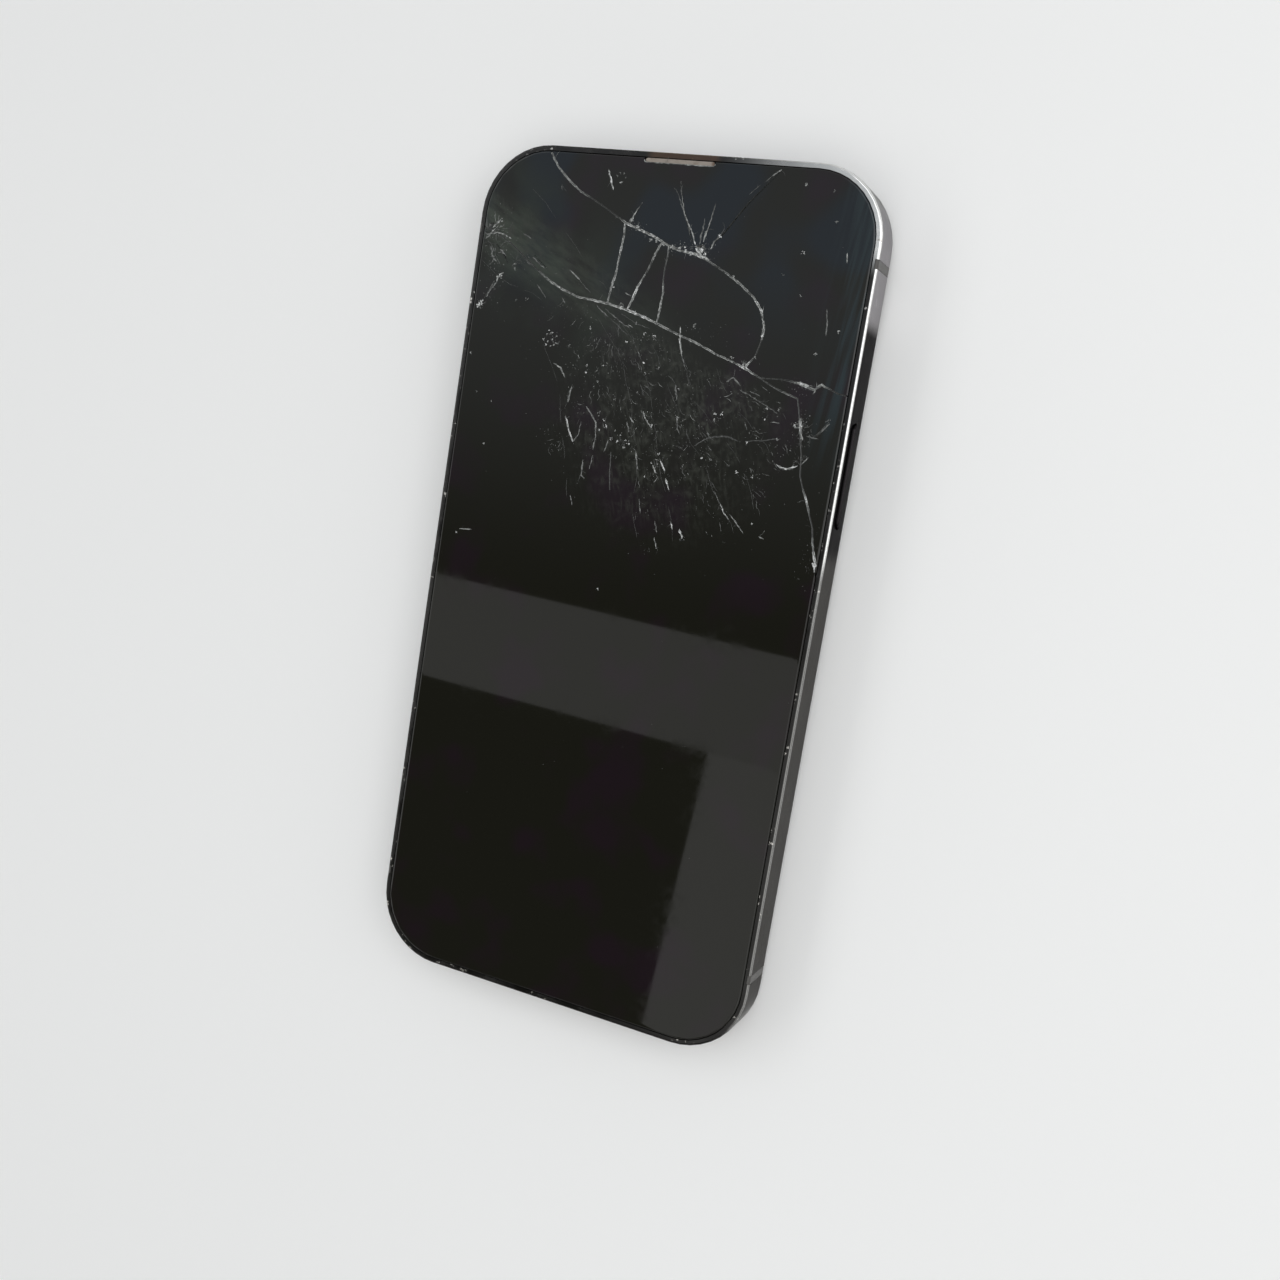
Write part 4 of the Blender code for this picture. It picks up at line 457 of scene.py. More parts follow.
def steel_tone(s, from_middle, on_band):
    """The coating's colour: a painted dark reflection by the side button, a painted pale
    reflection nearer the earpiece end on that side, the top rim painted darker as painted shade,
    painted highlights along the rim on that side and towards the top corner, and browned with
    grime by the earpiece."""
    tone = s.mix(s.noise(9, 3), (0.105, 0.1, 0.094), (0.16, 0.154, 0.146))
    side = s.ramp("X", HALF_WIDTH - 3.2 * MM, HALF_WIDTH - 1.6 * MM)
    painted_pale_reflection = s.ramp("Y", 47.5 * MM, 50.5 * MM)
    painted_dark_reflection = s.times(s.ramp("Y", 10.5 * MM, 14 * MM), s.math("SUBTRACT", 1, painted_pale_reflection))
    # Painted dark reflection: the side band is painted near black by the side button
    tone = s.mix(s.times(side, painted_dark_reflection), tone, (0.022, 0.02, 0.021))
    # Painted pale reflection: the side band is painted pale nearer the earpiece end
    tone = s.mix(s.times(side, painted_pale_reflection), tone, (0.56, 0.54, 0.56))
    rim = s.times(on_band, s.between(from_middle, HALF_BAND - 0.5 * MM, HALF_BAND - 0.25 * MM))
    # Painted shade: the rounded top rim is painted darker than the rest of the band
    tone = s.mix(rim, tone, (0.052, 0.051, 0.05))
    rounding = s.between(from_middle, HALF_BAND - 0.06 * MM, HALF_BAND - 0.01 * MM, 1, 0)
    painted_highlight_side = s.times(s.times(side, rounding), s.ramp("Y", 8 * MM, 13 * MM, 0.3, 1))
    corner = s.times(s.ramp("X", 6 * MM, 30 * MM), s.ramp("Y", 56 * MM, 61 * MM))
    # Painted highlight: the top rim is painted pale along the side-button side and along the top
    # edge towards that corner
    tone = s.mix(s.times(rim, s.math("MAXIMUM", painted_highlight_side, corner)), tone, (0.88, 0.88, 0.86))
    grime = s.times(s.between(s.away("X", 0.6 * MM), 5.2 * MM, 7 * MM, 1, 0),
                    s.ramp("Y", 71.7 * MM, 72.2 * MM))
    grime = s.times(grime, s.ramp("Z", FRAME_HIGH.z - 0.8 * MM, FRAME_HIGH.z - 0.4 * MM))
    return s.mix(grime, tone, (0.13, 0.09, 0.07))


def antenna_plastic():
    s = Shader("antenna_plastic", roughness=0.42)
    s.colour(s.noise(1.2, 4), (0.05, 0.048, 0.045), (0.09, 0.086, 0.08))
    s.bump(s.noise(0.15), 0.004, 0.4)
    return s.material


def cover_glass():
    """Black glass: finger smears in its gloss, painted reflections in its dark tone, and a
    grey-green haze along the long crack.
    """
    s = Shader("cover_glass_black", ior=1.52)
    across = s.math("ADD", s.times(s.axis("X"), -math.sin(HAZE_SLANT)),
                    s.times(s.axis("Y"), math.cos(HAZE_SLANT)))
    off_line = s.math("ABSOLUTE", s.math("SUBTRACT", across, HAZE_LINE))
    fading = s.ramp("X", -34 * MM, 14 * MM, 1, 0)
    veil = s.times(s.between(off_line, 0.4 * MM, 7 * MM, 1, 0), fading)
    wide_veil = s.times(s.between(off_line, 2 * MM, 16 * MM, 1, 0), fading)
    streaks = s.between(s.streaks(1.2, 5, HAZE_SLANT), 0.3, 0.72, 0.15, 0.8)
    cloud = s.between(s.noise(7, 3), 0.35, 0.7)
    tone = s.mix(s.times(wide_veil, cloud), display_with_painted_reflections(s), (0.014, 0.0205, 0.0135))
    tone = s.mix(s.times(veil, streaks), tone, (0.05, 0.062, 0.046))
    s.colour(glass_dust(s, veil), tone, (0.036, 0.038, 0.031))
    smear = s.between(s.noise(14, 5, (1, 0.6, 1), 1.2), 0.42, 0.7)
    grain = s.between(s.noise(1.6, 3), 0.3, 0.8)
    s.give("Roughness", s.math("ADD", 0.022, s.times(s.times(smear, grain), 0.05)))
    s.bump(s.noise(22, 1), 0.02, 0.25)
    return s.material


def display_with_painted_reflections(s):
    """The dark of the display, with painted reflections: purple and blue patches, and a streaked
    painted sheen at the right.
    """
    purple = s.between(s.noise(11), 0.5, 0.72)
    blue = s.times(s.between(s.noise(13, 1), 0.42, 0.62), s.ramp("Y", 40 * MM, 60 * MM))
    stripes = s.between(s.streaks(1.1, 20, math.radians(84)), 0.4, 0.65)
    painted_sheen_at_right = s.times(s.ramp("X", 27 * MM, 33.5 * MM), s.ramp("Y", 22 * MM, 40 * MM))
    # Painted reflections: purple patches, and blue patches towards the earpiece end
    tone = s.mix(purple, (0.0052, 0.0052, 0.0026), (0.0082, 0.0036, 0.0068))
    tone = s.mix(blue, tone, (0.0045, 0.0082, 0.0125))
    # Painted sheen: streaks of blue-grey reflection near the right edge
    return s.mix(s.times(stripes, painted_sheen_at_right), tone, (0.014, 0.024, 0.028))


def glass_dust(s, veil):
    """Where powdered glass speckles the screen: below the long crack and in the haze."""
    from_fan = s.vector("DISTANCE", (5 * MM, 31 * MM, SURFACE), "Value")
    across = s.math("ADD", s.times(s.axis("X"), 0.304), s.times(s.axis("Y"), 0.953))
    below = s.between(across, 40.5 * MM, 42.6 * MM, 1, 0)
    fan = s.times(below, s.between(from_fan, 9 * MM, 25 * MM, 1, 0))
    clump = s.between(s.noise(3.4, 3), 0.36, 0.62, 0.12, 1)
    crumbs = s.between(s.noise(1.3), 0.42, 0.8)
    scuffs = s.between(s.streaks(0.6, 2.6, math.radians(-73)), 0.45, 0.78)
    speckle = s.math("MAXIMUM", crumbs, scuffs)
    return s.times(s.math("MAXIMUM", fan, veil), s.times(clump, speckle))


def fracture(name, level):
    """Broken glass of one brightness, grainy and glinting."""
    s = Shader(name, roughness=0.3, ior=1.52)
    grain = s.between(s.noise(0.22, 3), 0.3, 0.7)
    dark = tuple(level * c for c in (0.3, 0.32, 0.31))
    pale = tuple(min(0.92, level * c) for c in (1.02, 1.04, 1))
    s.colour(grain, dark, pale)
    s.rough(s.noise(0.3), 0.3, 0.7, 0.12, 0.5)
    s.bump(s.noise(0.1, 3), 0.02, 0.6)
    return s.material


def rear_glass():
    s = Shader("rear_glass", ior=1.52)
    s.colour(s.noise(30), (0.018, 0.019, 0.021), (0.026, 0.027, 0.03))
    smear = s.between(s.noise(16, 5, (0.7, 1, 1), 1), 0.4, 0.7)
    s.give("Roughness", s.math("ADD", 0.05, s.times(smear, 0.14)))
    s.bump(s.noise(0.35), 0.002, 0.2)
    return s.material


def lens_glass():
    s = Shader("lens_glass", ior=1.45)
    s.give("Base Color", (0.9, 0.93, 0.97))
    s.give("Transmission Weight", 0.96)
    s.rough(s.noise(1.5, 3), 0.45, 0.8, 0.01, 0.08)
    return s.material


def lens_element():
    """The front element of a lens, with the green and violet cast of its coating."""
    s = Shader("lens_element", ior=1.6)
    across = s.between(s.noise(4, 1), 0.35, 0.65)
    s.colour(across, (0.01, 0.028, 0.024), (0.03, 0.012, 0.045))
    s.rough(s.noise(0.8), 0.4, 0.8, 0.02, 0.06)
    return s.material


def moulded(name, dark, pale, roughness=0.5):
    """Moulded plastic or rubber with a fine even texture."""
    s = Shader(name)
    s.colour(s.noise(4, 3), dark, pale)
    s.rough(s.noise(1.5), 0.3, 0.7, roughness - 0.08, roughness + 0.08)
    s.bump(s.noise(0.25, 3), 0.01, 0.4)
    return s.material


def bare_steel():
    s = Shader("bare_steel", metallic=1)
    s.colour(s.noise(3, 4), (0.42, 0.41, 0.4), (0.6, 0.6, 0.6))
    brushed = s.noise(0.1, 3, (1, 0.05, 1))
    s.rough(brushed, 0.3, 0.7, 0.26, 0.42)
    s.bump(brushed, 0.004, 0.4)
    return s.material


def panel_black():
    s = Shader("display_panel_black", roughness=0.3)
    pixels = s.times(s.bands(0.12, "X"), s.bands(0.12, "Y"))
    s.colour(pixels, (0.003, 0.003, 0.004), (0.01, 0.01, 0.013))
    return s.material


def woven_mesh():
    """Fine beige mesh over the speakers, browned with dirt in places."""
    s = Shader("speaker_mesh", metallic=0.2)
    wires = s.math("MAXIMUM", s.bands(0.2, "X"), s.bands(0.2, "Y"))
    dirt = s.between(s.noise(1.6, 4), 0.5, 0.75)
    metal = s.mix(wires, (0.17, 0.138, 0.115), (0.36, 0.315, 0.275))
    s.colour(dirt, metal, (0.17, 0.125, 0.095))
    s.rough(dirt, 0, 1, 0.45, 0.8)
    s.bump(wires, 0.02, 0.6)
    return s.material


def solder_mask():
    s = Shader("circuit_board", roughness=0.4)
    tracks = s.between(s.cells(1.6), 0.42, 0.5)
    s.colour(tracks, (0.012, 0.06, 0.032), (0.03, 0.13, 0.07))
    s.bump(tracks, 0.02, 0.6)
    return s.material


def wound_copper(centre):
    s = Shader("wound_copper", metallic=1)
    turns = s.rings(0.5, centre)
    s.colour(turns, (0.32, 0.12, 0.05), (0.86, 0.45, 0.26))
    s.rough(turns, 0, 1, 0.5, 0.26)
    s.bump(turns, 0.08, 0.8)
    return s.material


def magnets():
    s = Shader("plated_magnets", metallic=1)
    joints = s.cells(6, output="Color")
    s.colour(s.noise(2, 3), (0.3, 0.3, 0.32), (0.5, 0.5, 0.52))
    s.rough(joints, 0.2, 0.8, 0.28, 0.42)
    return s.material


def battery_wrap():
    s = Shader("battery_wrap")
    creases = s.noise(6, 4, (1, 0.3, 1), 0.5)
    s.colour(creases, (0.022, 0.022, 0.024), (0.05, 0.05, 0.052))
    s.rough(creases, 0.3, 0.7, 0.32, 0.5)
    s.bump(creases, 0.15, 0.5)
    return s.material


def flex_film():
    """Amber ribbon with its copper tracks showing through."""
    s = Shader("flex_film", roughness=0.35)
    tracks = s.between(s.bands(0.6, "X"), 0.5, 0.7)
    s.colour(tracks, (0.15, 0.065, 0.018), (0.3, 0.15, 0.055))
    s.bump(tracks, 0.02, 0.5)
    return s.material


def flash_window(centre):
    s = Shader("flash_window", ior=1.49)
    steps = s.rings(0.3, centre)
    s.colour(steps, (0.62, 0.5, 0.24), (0.85, 0.8, 0.62))
    s.rough(steps, 0, 1, 0.15, 0.3)
    s.bump(steps, 0.06, 0.7)
    return s.material


def gold_contacts():
    s = Shader("gold_contacts", metallic=1)
    s.colour(s.noise(0.5, 3), (0.62, 0.4, 0.13), (0.86, 0.62, 0.26))
    s.rough(s.noise(0.3), 0.3, 0.7, 0.2, 0.35)
    return s.material


def floor_finish():
    """Pale paper, which the camera, gloss and glass see a little lighter than it lights."""
    s = Shader("floor", roughness=0.7)
    paper = s.mix(s.noise(400), FLOOR_COLOUR, tuple(c * 0.985 for c in FLOOR_COLOUR))
    path = s.node("LightPath").outputs
    seen = s.math("MAXIMUM", path["Is Camera Ray"],
                  s.math("MAXIMUM", path["Is Glossy Ray"], path["Is Transmission Ray"]))
    s.colour(seen, paper, BACKDROP_COLOUR)
    return s.material


def node_centre(name):
    low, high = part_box(name)
    return (low + high) / 2


def placed(name, data):
    made = bpy.data.objects.new(name, data)
    bpy.context.scene.collection.objects.link(made)
    return made


def mesh_object(name, bm, materials):
    """Turns a mesh under construction into an object."""
    mesh = bpy.data.meshes.new(name)
    bm.to_mesh(mesh)
    bm.free()
    for material in materials:
        mesh.materials.append(material)
    return placed(name, mesh)


def linked(name, bm, materials, body):
    """As mesh_object, for a piece that rides on a body."""
    piece = mesh_object(name, bm, materials)
    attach(piece, body)
    return piece


def ride_and_link(name, bm, materials, body=PHONE, smooth=SMOOTH_TRIM):
    """As linked, with faces turned outwards and shaded smoothly across shallow angles."""
    bmesh.ops.recalc_face_normals(bm, faces=bm.faces)
    piece = linked(name, bm, materials, body)
    piece.data.shade_smooth()
    piece.data.set_sharp_from_angle(angle=math.radians(smooth))
    return piece


def welded(node):
    """A copy of a CAD node's mesh, its triangles joined again into one surface."""
    bm = bmesh.new()
    bm.from_mesh(NODES[node].data)
    bmesh.ops.remove_doubles(bm, verts=bm.verts, dist=1e-6)
    return bm


def node_body(node):
    return next(b for b, members in frame["record"]["behaviour"]["bodies"].items()
                if node in members)


def slot_of(node):
    return next(s["material_slot"] for s in frame["record"]["subparts"] if s["node"] == node)


def refined(node, material, edge=0.0):
    """A smooth-shaded copy stands for the node, with its sharp edges softened."""
    bm = welded(node)
    bmesh.ops.dissolve_limit(bm, angle_limit=math.radians(0.5), verts=bm.verts, edges=bm.edges)
    piece = ride_and_link(f"{node}_finish", bm, [material], node_body(node),
                          SMOOTH_NODE)
    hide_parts(node)
    if edge:
        bevel = piece.modifiers.new("soft_edges", "BEVEL")
        bevel.width = edge
        bevel.segments = 2
        bevel.limit_method = "ANGLE"
        bevel.angle_limit = math.radians(40)
        bevel.use_clamp_overlap = True
        bevel.harden_normals = False
    shade_evenly(piece)


def shade_evenly(piece):
    weighted = piece.modifiers.new("even_shading", "WEIGHTED_NORMAL")
    weighted.keep_sharp = True


def inside_outline(x, y):
    """How far a point lies inside the outline of the cover glass."""
    radius = BODY_CORNER - GLASS_INSET
    dx = abs(x) - (HALF_WIDTH - GLASS_INSET - radius)
    dy = abs(y) - (HALF_LENGTH - GLASS_INSET - radius)
    outside = math.hypot(max(dx, 0.0), max(dy, 0.0)) + min(max(dx, dy), 0.0)
    return radius - outside


def in_earpiece_slit(point):
    low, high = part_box("earpiece_mesh")
    return low.x - 0.5 * MM < point.x < high.x + 0.5 * MM and point.y > low.y - 0.5 * MM


def make_glass_piece(node, glass, shades):
    """The CAD's piece of glass, smooth outside and splintered where it is broken."""
    bm = welded(node)
    chance = random.Random(node)
    for face in bm.faces:
        centre = face.calc_center_median()
        inside = inside_outline(centre.x, centre.y) > RIM_MARGIN
        face.smooth = True
        if abs(face.normal.z) < 0.97 and inside and not in_earpiece_slit(centre):
            # Painted glints: the walls of grooves and chips get a brightness painted by place
            level = CRACK_WALL_SHARE * painted_glint(centre.x, centre.y)
            face.material_index = 1 + pick_shade(level, chance)
    for edge in bm.edges:
        broken = any(face.material_index for face in edge.link_faces)
        steepest = SMOOTH_BROKEN if broken else SMOOTH_NODE
        edge.smooth = edge.calc_face_angle(0.0) < math.radians(steepest)
    piece = linked(f"{node}_finish", bm, [glass, *shades], PHONE)
    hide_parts(node)
    shade_evenly(piece)


def pick_shade(brightness, chance):
    """Which of the fracture materials a facet gets, around the given brightness. The random spread
    between facets is painted glints and shade.
    """
    level = brightness * chance.uniform(0.35, 1.3)
    return sum(level >= step for step in SHADE_STEPS)


def broken_edges(node):
    """The top edges of a piece of glass along its cracks, as (start, end, inward normal)."""
    bm = welded(node)
    found = []
    for edge in bm.edges:
        if len(edge.link_faces) != 2:
            continue
        top, wall = sorted(edge.link_faces, key=lambda f: -f.normal.z)
        a, b = edge.verts
        middle = (a.co + b.co) / 2
        if top.normal.z < 0.99 or abs(wall.normal.z) > 0.1 or middle.z < SURFACE - 0.01 * MM:
            continue
        if inside_outline(middle.x, middle.y) > LIP_MARGIN and edge.calc_length() > 1e-5:
            found.append((a.co.copy(), b.co.copy(), -wall.normal.copy()))
    bm.free()
    return found


def add_splinters(bm, loops, level_at, chance):
    """A closed splintered bar through loops of corners, its facets of uneven brightness."""
    count = len(loops[0])
    for i, (first, second) in enumerate(zip(loops, loops[1:])):
        for k in range(count):
            after = (k + 1) % count
            face = bm.faces.new((first[k], first[after], second[after], second[k]))
            face.material_index = pick_shade(level_at(i), chance)
    bm.faces.new(loops[0])
    bm.faces.new(loops[-1])


def painted_glint(x, y):
    """How bright the edge of a through crack is painted at a place, as painted glints and shade.
    """
    level = RIM_LEVEL
    for spot_x, spot_y, reach, change in PAINTED_CRACK_GLINTS:
        share = 1.0 - math.hypot(x / MM - spot_x, y / MM - spot_y) / reach
        level += change * max(0.0, share)
    return max(0.04, level)


def add_crushed_rim(bm, lips, chance):
    """Splintered glass along the lips of a through crack."""
    for start, end, inward in lips:
        steps = max(1, round((end - start).length / RIDGE_STEP))
        loops, levels = [], []
        for i in range(steps + 1):
            at = start.lerp(end, i / steps)
            level = painted_glint(at.x, at.y) * (1.0 + 0.5 * noise.noise(at / (1.9 * MM)))
            wide = RIM_WIDTH * max(0.1, chance.uniform(0.1, 1.3) + 1.6 * (level - RIM_LEVEL))
            corners = (at - inward * RIM_OVERHANG - Vector((0, 0, RIM_DROP)),
                       at + Vector((0, 0, RIDGE_RISE / 2)),
                       at + inward * wide + Vector((0, 0, RIDGE_RISE / 4)),
                       at - Vector((0, 0, RIM_ROOT)))
            loops.append([bm.verts.new(corner) for corner in corners])
            levels.append(level)
        add_splinters(bm, loops, lambda i: levels[i], chance)


def along(points, step, jitter, chance):
    """The points of a line, with uneven steps between them and small sideways kinks."""
    line = [points[0]]
    for a, b in zip(points, points[1:]):
        direction = b - a
        pieces = max(1, round(direction.length / step))
        side = Vector((-direction.y, direction.x)).normalized()
        for i in range(1, pieces):
            share = (i + chance.uniform(-0.25, 0.25)) / pieces
            line.append(a + direction * share + side * chance.gauss(0, jitter))
        line.append(b)
    return line


def add_ridge(bm, points, width, brightness, chance, jitter=RIDGE_JITTER, fade=1.0):
    """A thin crack: a low splintered ridge whose facets are painted in uneven brightnesses, as
    painted glints.
    """
    line = along(points, RIDGE_STEP, jitter, chance)
    last = len(line) - 1
    loops = []
    for i, at in enumerate(line):
        direction = (line[min(i + 1, last)] - line[max(i - 1, 0)]).normalized()
        side = Vector((-direction.y, direction.x))
        taper = (0.35 if i in (0, last) else 1.0) * (1.0 + (fade - 1.0) * 0.6 * i / last)
        left, right = (width / 2 * taper * chance.uniform(0.45, 1.15) for _ in range(2))
        lean = chance.uniform(-0.4, 0.4) * min(left, right)
        loops.append([bm.verts.new((*(at + side * left), SURFACE - RIDGE_ROOT)),
                      bm.verts.new((*(at + side * lean), SURFACE + RIDGE_RISE)),
                      bm.verts.new((*(at - side * right), SURFACE - RIDGE_ROOT))])
    add_splinters(bm, loops, lambda i: brightness * (1.0 + (fade - 1.0) * i / last), chance)


def add_branches(bm, points, brightness, chance, per_mm):
    """Short splinters that leave a crack at a slant."""
    for a, b in zip(points, points[1:]):
        direction = (b - a).normalized()
        for _ in range(int((b - a).length / MM * per_mm + chance.random())):
            start = a.lerp(b, chance.random())
            turn = math.radians(chance.choice((-1, 1)) * chance.uniform(18, 70))
            reach = chance.uniform(0.3, 1.5) * MM
            heading = Matrix.Rotation(turn, 2) @ direction
            bend = Matrix.Rotation(turn * 0.4, 2) @ heading
            middle = start + heading * reach * 0.5
            add_ridge(bm, [start, middle, middle + bend * reach * 0.5],
                      chance.uniform(0.07, 0.14) * MM, brightness, chance)


def add_chip(bm, x, y, size, brightness, chance):
    """A crumb of glass: a small irregular pyramid, its foot sunk in the surface."""
    corners = chance.choice((3, 4, 5))
    turn = chance.uniform(0, math.tau)
    rim = []
    for i in range(corners):
        angle = turn + math.tau * (i + chance.uniform(-0.3, 0.3)) / corners
        reach = size / 2 * chance.uniform(0.55, 1.2)
        rim.append(bm.verts.new((x + reach * math.cos(angle), y + reach * math.sin(angle),
                                 SURFACE - RIDGE_ROOT)))
    tip = bm.verts.new((x + chance.uniform(-0.2, 0.2) * size, y + chance.uniform(-0.2, 0.2) * size,
                        SURFACE + min(RIDGE_RISE, size * 0.3)))
    for i in range(corners):
        face = bm.faces.new((rim[i], rim[(i + 1) % corners], tip))
        face.material_index = pick_shade(brightness, chance)
    bm.faces.new(rim)


def on_phone(points):
    return [Vector(p) * MM for p in points]


def pairs(numbers):
    """The points of a list of x, y, x, y and so on."""
    return list(zip(numbers[::2], numbers[1::2]))


def make_marks(name, seed, fill, shades):
    """A piece of broken glass on the surface, filled in with random numbers of its own."""
    bm = bmesh.new()
    fill(bm, random.Random(seed))
    ride_and_link(name, bm, shades, smooth=SMOOTH_MARK)


def add_rims(bm, chance):
    for node in GLASS_NODES:
        lips = broken_edges(node)
        add_crushed_rim(bm, lips, chance)
        for start, end, _ in lips:
            level = 0.7 * painted_glint(start.x, start.y)
            add_branches(bm, [start.xy, end.xy], level, chance, 0.1)


def add_cracks(bm, chance):
    for listed, fade in ((CRACKS, 1.0), (RAYS, 0.12)):
        for brightness, width, *numbers in listed:
            line = on_phone(pairs(numbers))
            add_ridge(bm, line, width * MM, brightness, chance, fade=fade)
            add_branches(bm, line, brightness * 0.5, chance, 0.25)


def add_hairlines(bm, chance):
    for numbers in HAIRLINES:
        line = on_phone(pairs(numbers))
        for a, b in zip(line, line[1:]):
            bow = Vector((a.y - b.y, b.x - a.x)) * chance.uniform(-0.06, 0.06)
            start, end = chance.uniform(0, 0.25), chance.uniform(0.6, 1.0)
            add_ridge(bm, [a.lerp(b, start), a.lerp(b, (start + end) / 2) + bow, a.lerp(b, end)],
                      HAIRLINE_WIDTH, chance.uniform(0.05, 0.22), chance, FINE_JITTER)


def bent_line(start, heading, reach, bend):
    """A line of two strokes, the second turned a little from the first."""
    middle = start + heading * reach / 2
    return [start, middle, middle + Matrix.Rotation(bend, 2) @ heading * reach / 2]


def add_clump(bm, middle, heading, brightness, chance):
    """Specks and short scratches close together, the scratches roughly in line."""
    spread = chance.uniform(0.3, 1.4)
    lean = chance.gauss(0, 0.28)
    for _ in range(chance.randint(3, 9)):
        at = middle + Vector((chance.gauss(0, spread), chance.gauss(0, spread)))
        level = brightness * chance.uniform(0.3, 1.5)
        if inside_outline(at.x * MM, at.y * MM) < 2.2 * MM:
            continue
        if chance.random() < 0.55:
            add_chip(bm, at.x * MM, at.y * MM, chance.uniform(0.12, 0.34) * MM, level, chance)
            continue
        turned = Matrix.Rotation(lean + chance.gauss(0, 0.25), 2) @ heading
        reach = 0.25 + 1.7 * chance.random() ** 2.5
        line = bent_line(at, turned, reach, chance.gauss(0, 0.5))
        add_ridge(bm, on_phone(line), chance.uniform(0.08, 0.2) * MM, level, chance,
                  FINE_JITTER)


def add_scratches(bm, chance):
    centre = Vector(FAN_CENTRE)
    for clumps, brightness, x, y, spread_x, spread_y in FANS:
        for _ in range(clumps):
            at = Vector((chance.gauss(x, spread_x), chance.gauss(y, spread_y)))
            if at.y < LONG_CRACK_HEIGHT - LONG_CRACK_FALL * at.x:
                level = brightness * chance.uniform(0.4, 1.5)
                add_clump(bm, at, (at - centre).normalized(), level, chance)


def add_stars(bm, chance):
    for x, y, rays, shortest, longest, brightness in STARS:
        for i in range(rays):
            turn = Matrix.Rotation(math.tau * (i + chance.uniform(-0.4, 0.4)) / rays, 2)
            heading = turn @ Vector((1.0, 0.0))
            reach = shortest + (longest - shortest) * chance.random() ** 2
            start = Vector((x, y)) + heading * chance.uniform(0.0, 0.5) * reach
            line = on_phone(bent_line(start, heading, reach, chance.gauss(0, 0.7)))
            if min(inside_outline(*point) for point in line) > 0.3 * MM:
                add_ridge(bm, line, chance.uniform(0.1, 0.24) * MM,
                          brightness * chance.uniform(0.5, 1.3), chance, 0.03 * MM, 0.2)


def add_chips(bm, chance):
    for (brightness, size), numbers in SPECKS.items():
        for x, y in pairs(numbers) * CRUMBS_PER_SPECK:
            px = (x + chance.gauss(0, size * CRUMB_SCATTER)) * MM
            py = (y + chance.gauss(0, size * CRUMB_SCATTER)) * MM
            add_chip(bm, px, py, size * chance.uniform(0.4, 0.85) * MM,
                     SPECK_LEVEL * brightness, chance)
    for count, brightness, x, y, spread_x, spread_y in CLOUDS:
        for _ in range(count):
            px, py = chance.gauss(x, spread_x) * MM, chance.gauss(y, spread_y) * MM
            if inside_outline(px, py) > 0.5 * MM:
                size = SMALLEST_CHIP + (LARGEST_CHIP - SMALLEST_CHIP) * chance.random() ** 3
                add_chip(bm, px, py, size, brightness * chance.uniform(0.5, 1.5), chance)


# The pieces of broken glass on the surface, with the seed and the function of each
MARKS = {
    "crushed_crack_edges": ("rims", add_rims), "splinter_cracks": ("cracks", add_cracks),
    "hairline_cracks": ("hairlines", add_hairlines),
    "fine_scratches": ("scratches", add_scratches), "crack_stars": ("stars", add_stars),
    "glass_chips": ("chips", add_chips),
}


def ring(bm, centre, radius, z, sides):
    """A level ring of corners."""
    return [bm.verts.new((centre.x + radius * math.cos(math.tau * k / sides),
                          centre.y + radius * math.sin(math.tau * k / sides), z))
            for k in range(sides)]


def add_dome(bm, centre, low):
    """A shallow spherical cap, bulging downwards, on a flat back."""
    rows = []
    for i in range(1, DOME_RINGS + 1):
        share = i / DOME_RINGS
        z = low + DOME_HEIGHT * share * share
        rows.append(ring(bm, centre, DOME_RADIUS * share, z, DOME_SIDES))
    tip = bm.verts.new((centre.x, centre.y, low))
    for k in range(DOME_SIDES):
        after = (k + 1) % DOME_SIDES
        bm.faces.new((tip, rows[0][after], rows[0][k]))
        for lower, upper in zip(rows, rows[1:]):
            bm.faces.new((lower[k], lower[after], upper[after], upper[k]))
    bm.faces.new(rows[-1])


def add_baffle(bm, centre, top):
    """A stepped ring, closed on itself."""
    rows = [ring(bm, centre, radius * MM, top - depth * MM, BAFFLE_SIDES)
            for radius, depth in BAFFLE_PROFILE]
    for row, following in zip(rows, rows[1:] + rows[:1]):
        for k in range(BAFFLE_SIDES):
            after = (k + 1) % BAFFLE_SIDES
            bm.faces.new((row[k], row[after], following[after], following[k]))


def make_lens_insides(element, black):
    """Under each rear lens cover: a stepped black baffle and the domed front element."""
    for name in ("upper", "lower"):
        cover_low, cover_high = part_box(f"lens_cover_{name}")
        barrel_low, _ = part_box(f"rear_camera_{name}")
        centre = (cover_low + cover_high) / 2
        top = barrel_low.z
        bm = bmesh.new()
        add_dome(bm, centre, top - DOME_SUNK)
        ride_and_link(f"lens_element_{name}", bm, [element])
        bm = bmesh.new()
        add_baffle(bm, centre, top)
        ride_and_link(f"lens_baffle_{name}", bm, [black])


def make_port_contacts(gold):
    """Gold strips on both faces of the tongue in the charging port."""
    low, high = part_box("port_tongue")
    pitch = (high.x - low.x - 2 * CONTACT_MARGIN) / CONTACTS_PER_FACE
    size = Vector((pitch * 0.55, (high.y - low.y) * 0.7, CONTACT_THICKNESS))
    bm = bmesh.new()
    for z, out in ((low.z, -1), (high.z, 1)):
        for i in range(CONTACTS_PER_FACE):
            place = Vector((low.x + CONTACT_MARGIN + pitch * (i + 0.5),
                            low.y + CONTACT_MARGIN + size.y / 2,
                            z + out * CONTACT_THICKNESS / 2))
            strip = bmesh.ops.create_cube(bm, size=1.0)["verts"]
            bmesh.ops.transform(bm, verts=strip,
                                matrix=Matrix.Translation(place) @ Matrix.Diagonal((*size, 1)))
    ride_and_link("port_contacts", bm, [gold])


